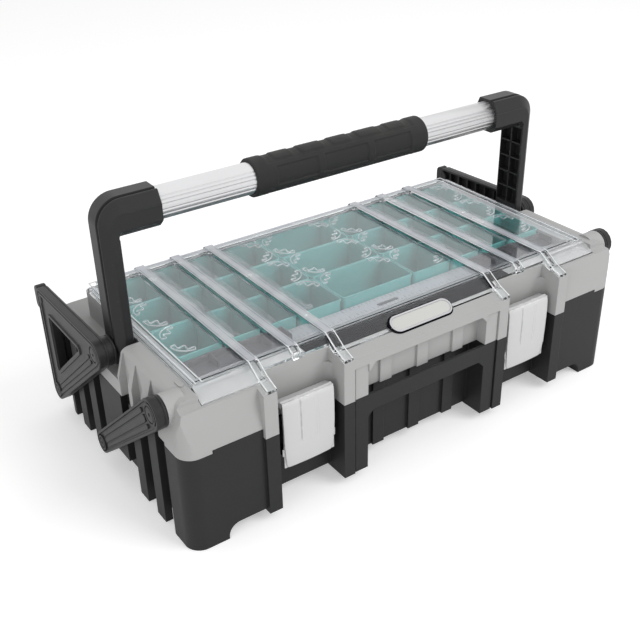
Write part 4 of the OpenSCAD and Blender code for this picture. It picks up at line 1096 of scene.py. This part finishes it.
def build_badge_gasket():
    """The dark seal that the badge sits in."""
    low, high = (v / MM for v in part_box("badge_rim"))
    tilt = math.atan2(SLOPE_FALL, LID_EDGE_Y - SLOPE_Y)
    along = SLOPE_FALL / math.sin(tilt) - 3.0
    r_rim = 9.0
    reach = (high.x - low.x) / 2 - r_rim
    place = (Matrix.Translation(Vector((0, LID_EDGE_Y, LID_TOP)) * MM) @ Matrix.Rotation(tilt, 4, "X")
             @ Matrix.Translation((0, -along * MM, 0)))
    bm = bmesh.new()
    loft(bm, [stadium(reach, r_rim + out, 0, z, 16) for out, z in
              ((0.1, 0.2), (0.1, 1.4), (1.2, 1.4), (1.6, 1.0), (1.6, 0.2))], closed=True)
    bmesh.ops.transform(bm, matrix=place, verts=bm.verts)
    close_up(bm)
    finish_piece("badge_gasket", bm, BLACK_BAND, "lid", weighted=False)


def build_slot_floor():
    """A floor under the slot of the ruler, darkened as painted shade."""
    bm = bmesh.new()
    y = (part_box("ruler")[0].y / MM - 1 + CUPS_FRONT) / 2 - 3
    steps = ((0.05, 2.8), (0.5, 2.8), (0.6, 2.6))
    loft(bm, [stadium(10.5, r, y, SHELF_Z + up, 12) for up, r in steps])
    close_up(bm)
    finish_piece("ruler_slot_floor", bm, SHELF_SHADE, "case",
                 weighted=False)


build_slot_floor()
build_shelf_tray("shelf_tray_left", -1)
build_shelf_tray("shelf_tray_right", 1)
build_ruler_marks()
build_badge_gasket()


# Rounded copies of the moulded and metal nodes

for node, material, width in (
        ("base_tub", BLACK_SHELL, 0.7), ("organiser_case", GREY_SHELL, 0.7),
        ("ruler", RULER_PALE, 0.3), ("badge_band", BLACK_BAND, 0.3),
        ("badge_rim", BADGE_CHROME, 0.4), ("badge_plate", BADGE_SILVER, 0.3)):
    stand_in(node, rounded_bmesh(node, width * MM), material)

for node, part in NODES.items():
    if SLOT_OF[node] == "steel":
        part.data.materials.clear()
        part.data.materials.append(PIN_STEEL)


# Stage, lights and camera

FLOOR_HALF, FLOOR_DOWN, FLOOR_WHITE = 6.0, 0.0003, (0.86, 0.86, 0.86, 1)
FLOOR_GLOW, FLOOR_SHEEN, WORLD_LEVEL = 0.36, 0.2, 0.62


def seen_through(tree, path):
    """1 for rays that come off or through another surface."""
    return math_node(tree, "MAXIMUM", path.outputs["Is Glossy Ray"],
                     path.outputs["Is Transmission Ray"])


def build_floor():
    """A pale paper floor that shows white behind the clear pieces."""
    bm = bmesh.new()
    bmesh.ops.create_grid(bm, x_segments=1, y_segments=1, size=FLOOR_HALF)
    bmesh.ops.translate(bm, verts=bm.verts, vec=(0, 0, -FLOOR_DOWN))
    mesh = bpy.data.meshes.new("floor")
    bm.to_mesh(mesh)
    bm.free()
    floor = bpy.data.objects.new("floor", mesh)
    bpy.context.scene.collection.objects.link(floor)
    mat, tree, bsdf, out = new_material("floor, pale paper")
    feed(tree, bsdf, {"Base Color": FLOOR_WHITE, "Roughness": 0.9, "Specular IOR Level": 0.0})
    path = tree.nodes.new("ShaderNodeLightPath")
    glow = tree.nodes.new("ShaderNodeEmission")
    lift = math_node(tree, "MULTIPLY", path.outputs["Is Camera Ray"], FLOOR_GLOW)
    feed(tree, glow, {"Strength": lift})
    both = tree.nodes.new("ShaderNodeAddShader")
    feed(tree, both, {0: bsdf.outputs[0], 1: glow.outputs[0]})
    white = tree.nodes.new("ShaderNodeEmission")
    mix = tree.nodes.new("ShaderNodeMixShader")
    sheen = math_node(tree, "MULTIPLY", seen_through(tree, path), FLOOR_SHEEN)
    feed(tree, mix, {0: sheen, 1: both.outputs[0], 2: white.outputs[0]})
    feed(tree, out, {"Surface": mix.outputs[0]})
    mesh.materials.append(mat)


def build_world():
    """White surroundings, brighter to the camera and in reflections than as a light."""
    world = bpy.data.worlds.new("white studio")
    bpy.context.scene.world = world
    world.use_nodes = True
    tree = world.node_tree
    back = tree.nodes["Background"]
    path = tree.nodes.new("ShaderNodeLightPath")
    seen = math_node(tree, "MAXIMUM", path.outputs["Is Camera Ray"], seen_through(tree, path))
    feed(tree, back, {"Color": WHITE, "Strength": spread(tree, seen, 0.0, 1.0, WORLD_LEVEL, 1.0)})


LAMP_AIM = Vector((0, 0, 0.1))


def soft_lamp(name, place, size, power):
    """A square lamp, turned towards the case and unseen in reflections."""
    data = bpy.data.lights.new(name, "AREA")
    data.shape, data.size, data.energy = "SQUARE", size, power
    lamp = bpy.data.objects.new(name, data)
    bpy.context.scene.collection.objects.link(lamp)
    lamp.location = place
    lamp.visible_glossy = False
    lamp.rotation_euler = (LAMP_AIM - Vector(place)).to_track_quat("-Z", "Y").to_euler()


CAMERA_TURN, CAMERA_TILT, CAMERA_ROLL = (math.radians(v) for v in (-34.32, 30.04, -1.31))
CAMERA_AIM, CAMERA_AWAY = Vector((53.0, 115.2, 10.0)) * MM, 1185.9 * MM
# focal length and width of the picture in pixels, and the sensor's width in mm
FOCAL_PX, PICTURE_PX, SENSOR = 942.7, 640, 36.0


def place_camera():
    """The camera at the photograph's angle."""
    level, roll = math.cos(CAMERA_TILT), CAMERA_ROLL
    back = Vector((math.sin(CAMERA_TURN) * level, -math.cos(CAMERA_TURN) * level,
                   math.sin(CAMERA_TILT)))
    right = Z.cross(back).normalized()
    up = back.cross(right)
    right, up = (math.cos(roll) * right + math.sin(roll) * up,
                 math.cos(roll) * up - math.sin(roll) * right)
    data = bpy.data.cameras.new("camera")
    data.sensor_width, data.lens = SENSOR, FOCAL_PX / PICTURE_PX * SENSOR
    data.clip_start, data.clip_end = 0.01, 50.0
    camera = bpy.data.objects.new("camera", data)
    bpy.context.scene.collection.objects.link(camera)
    turn = Matrix((right, up, back)).transposed().to_4x4()
    camera.matrix_world = Matrix.Translation(CAMERA_AIM + back * CAMERA_AWAY) @ turn
    bpy.context.scene.camera = camera


build_floor()
build_world()
soft_lamp("key", (0.9, -1.7, 1.7), size=1.3, power=26)
soft_lamp("top", (-0.2, 0.3, 2.2), size=1.6, power=4)
soft_lamp("left", (-1.8, -1.0, 0.5), size=0.9, power=7)
place_camera()
bpy.context.scene.view_settings.view_transform = "Standard"
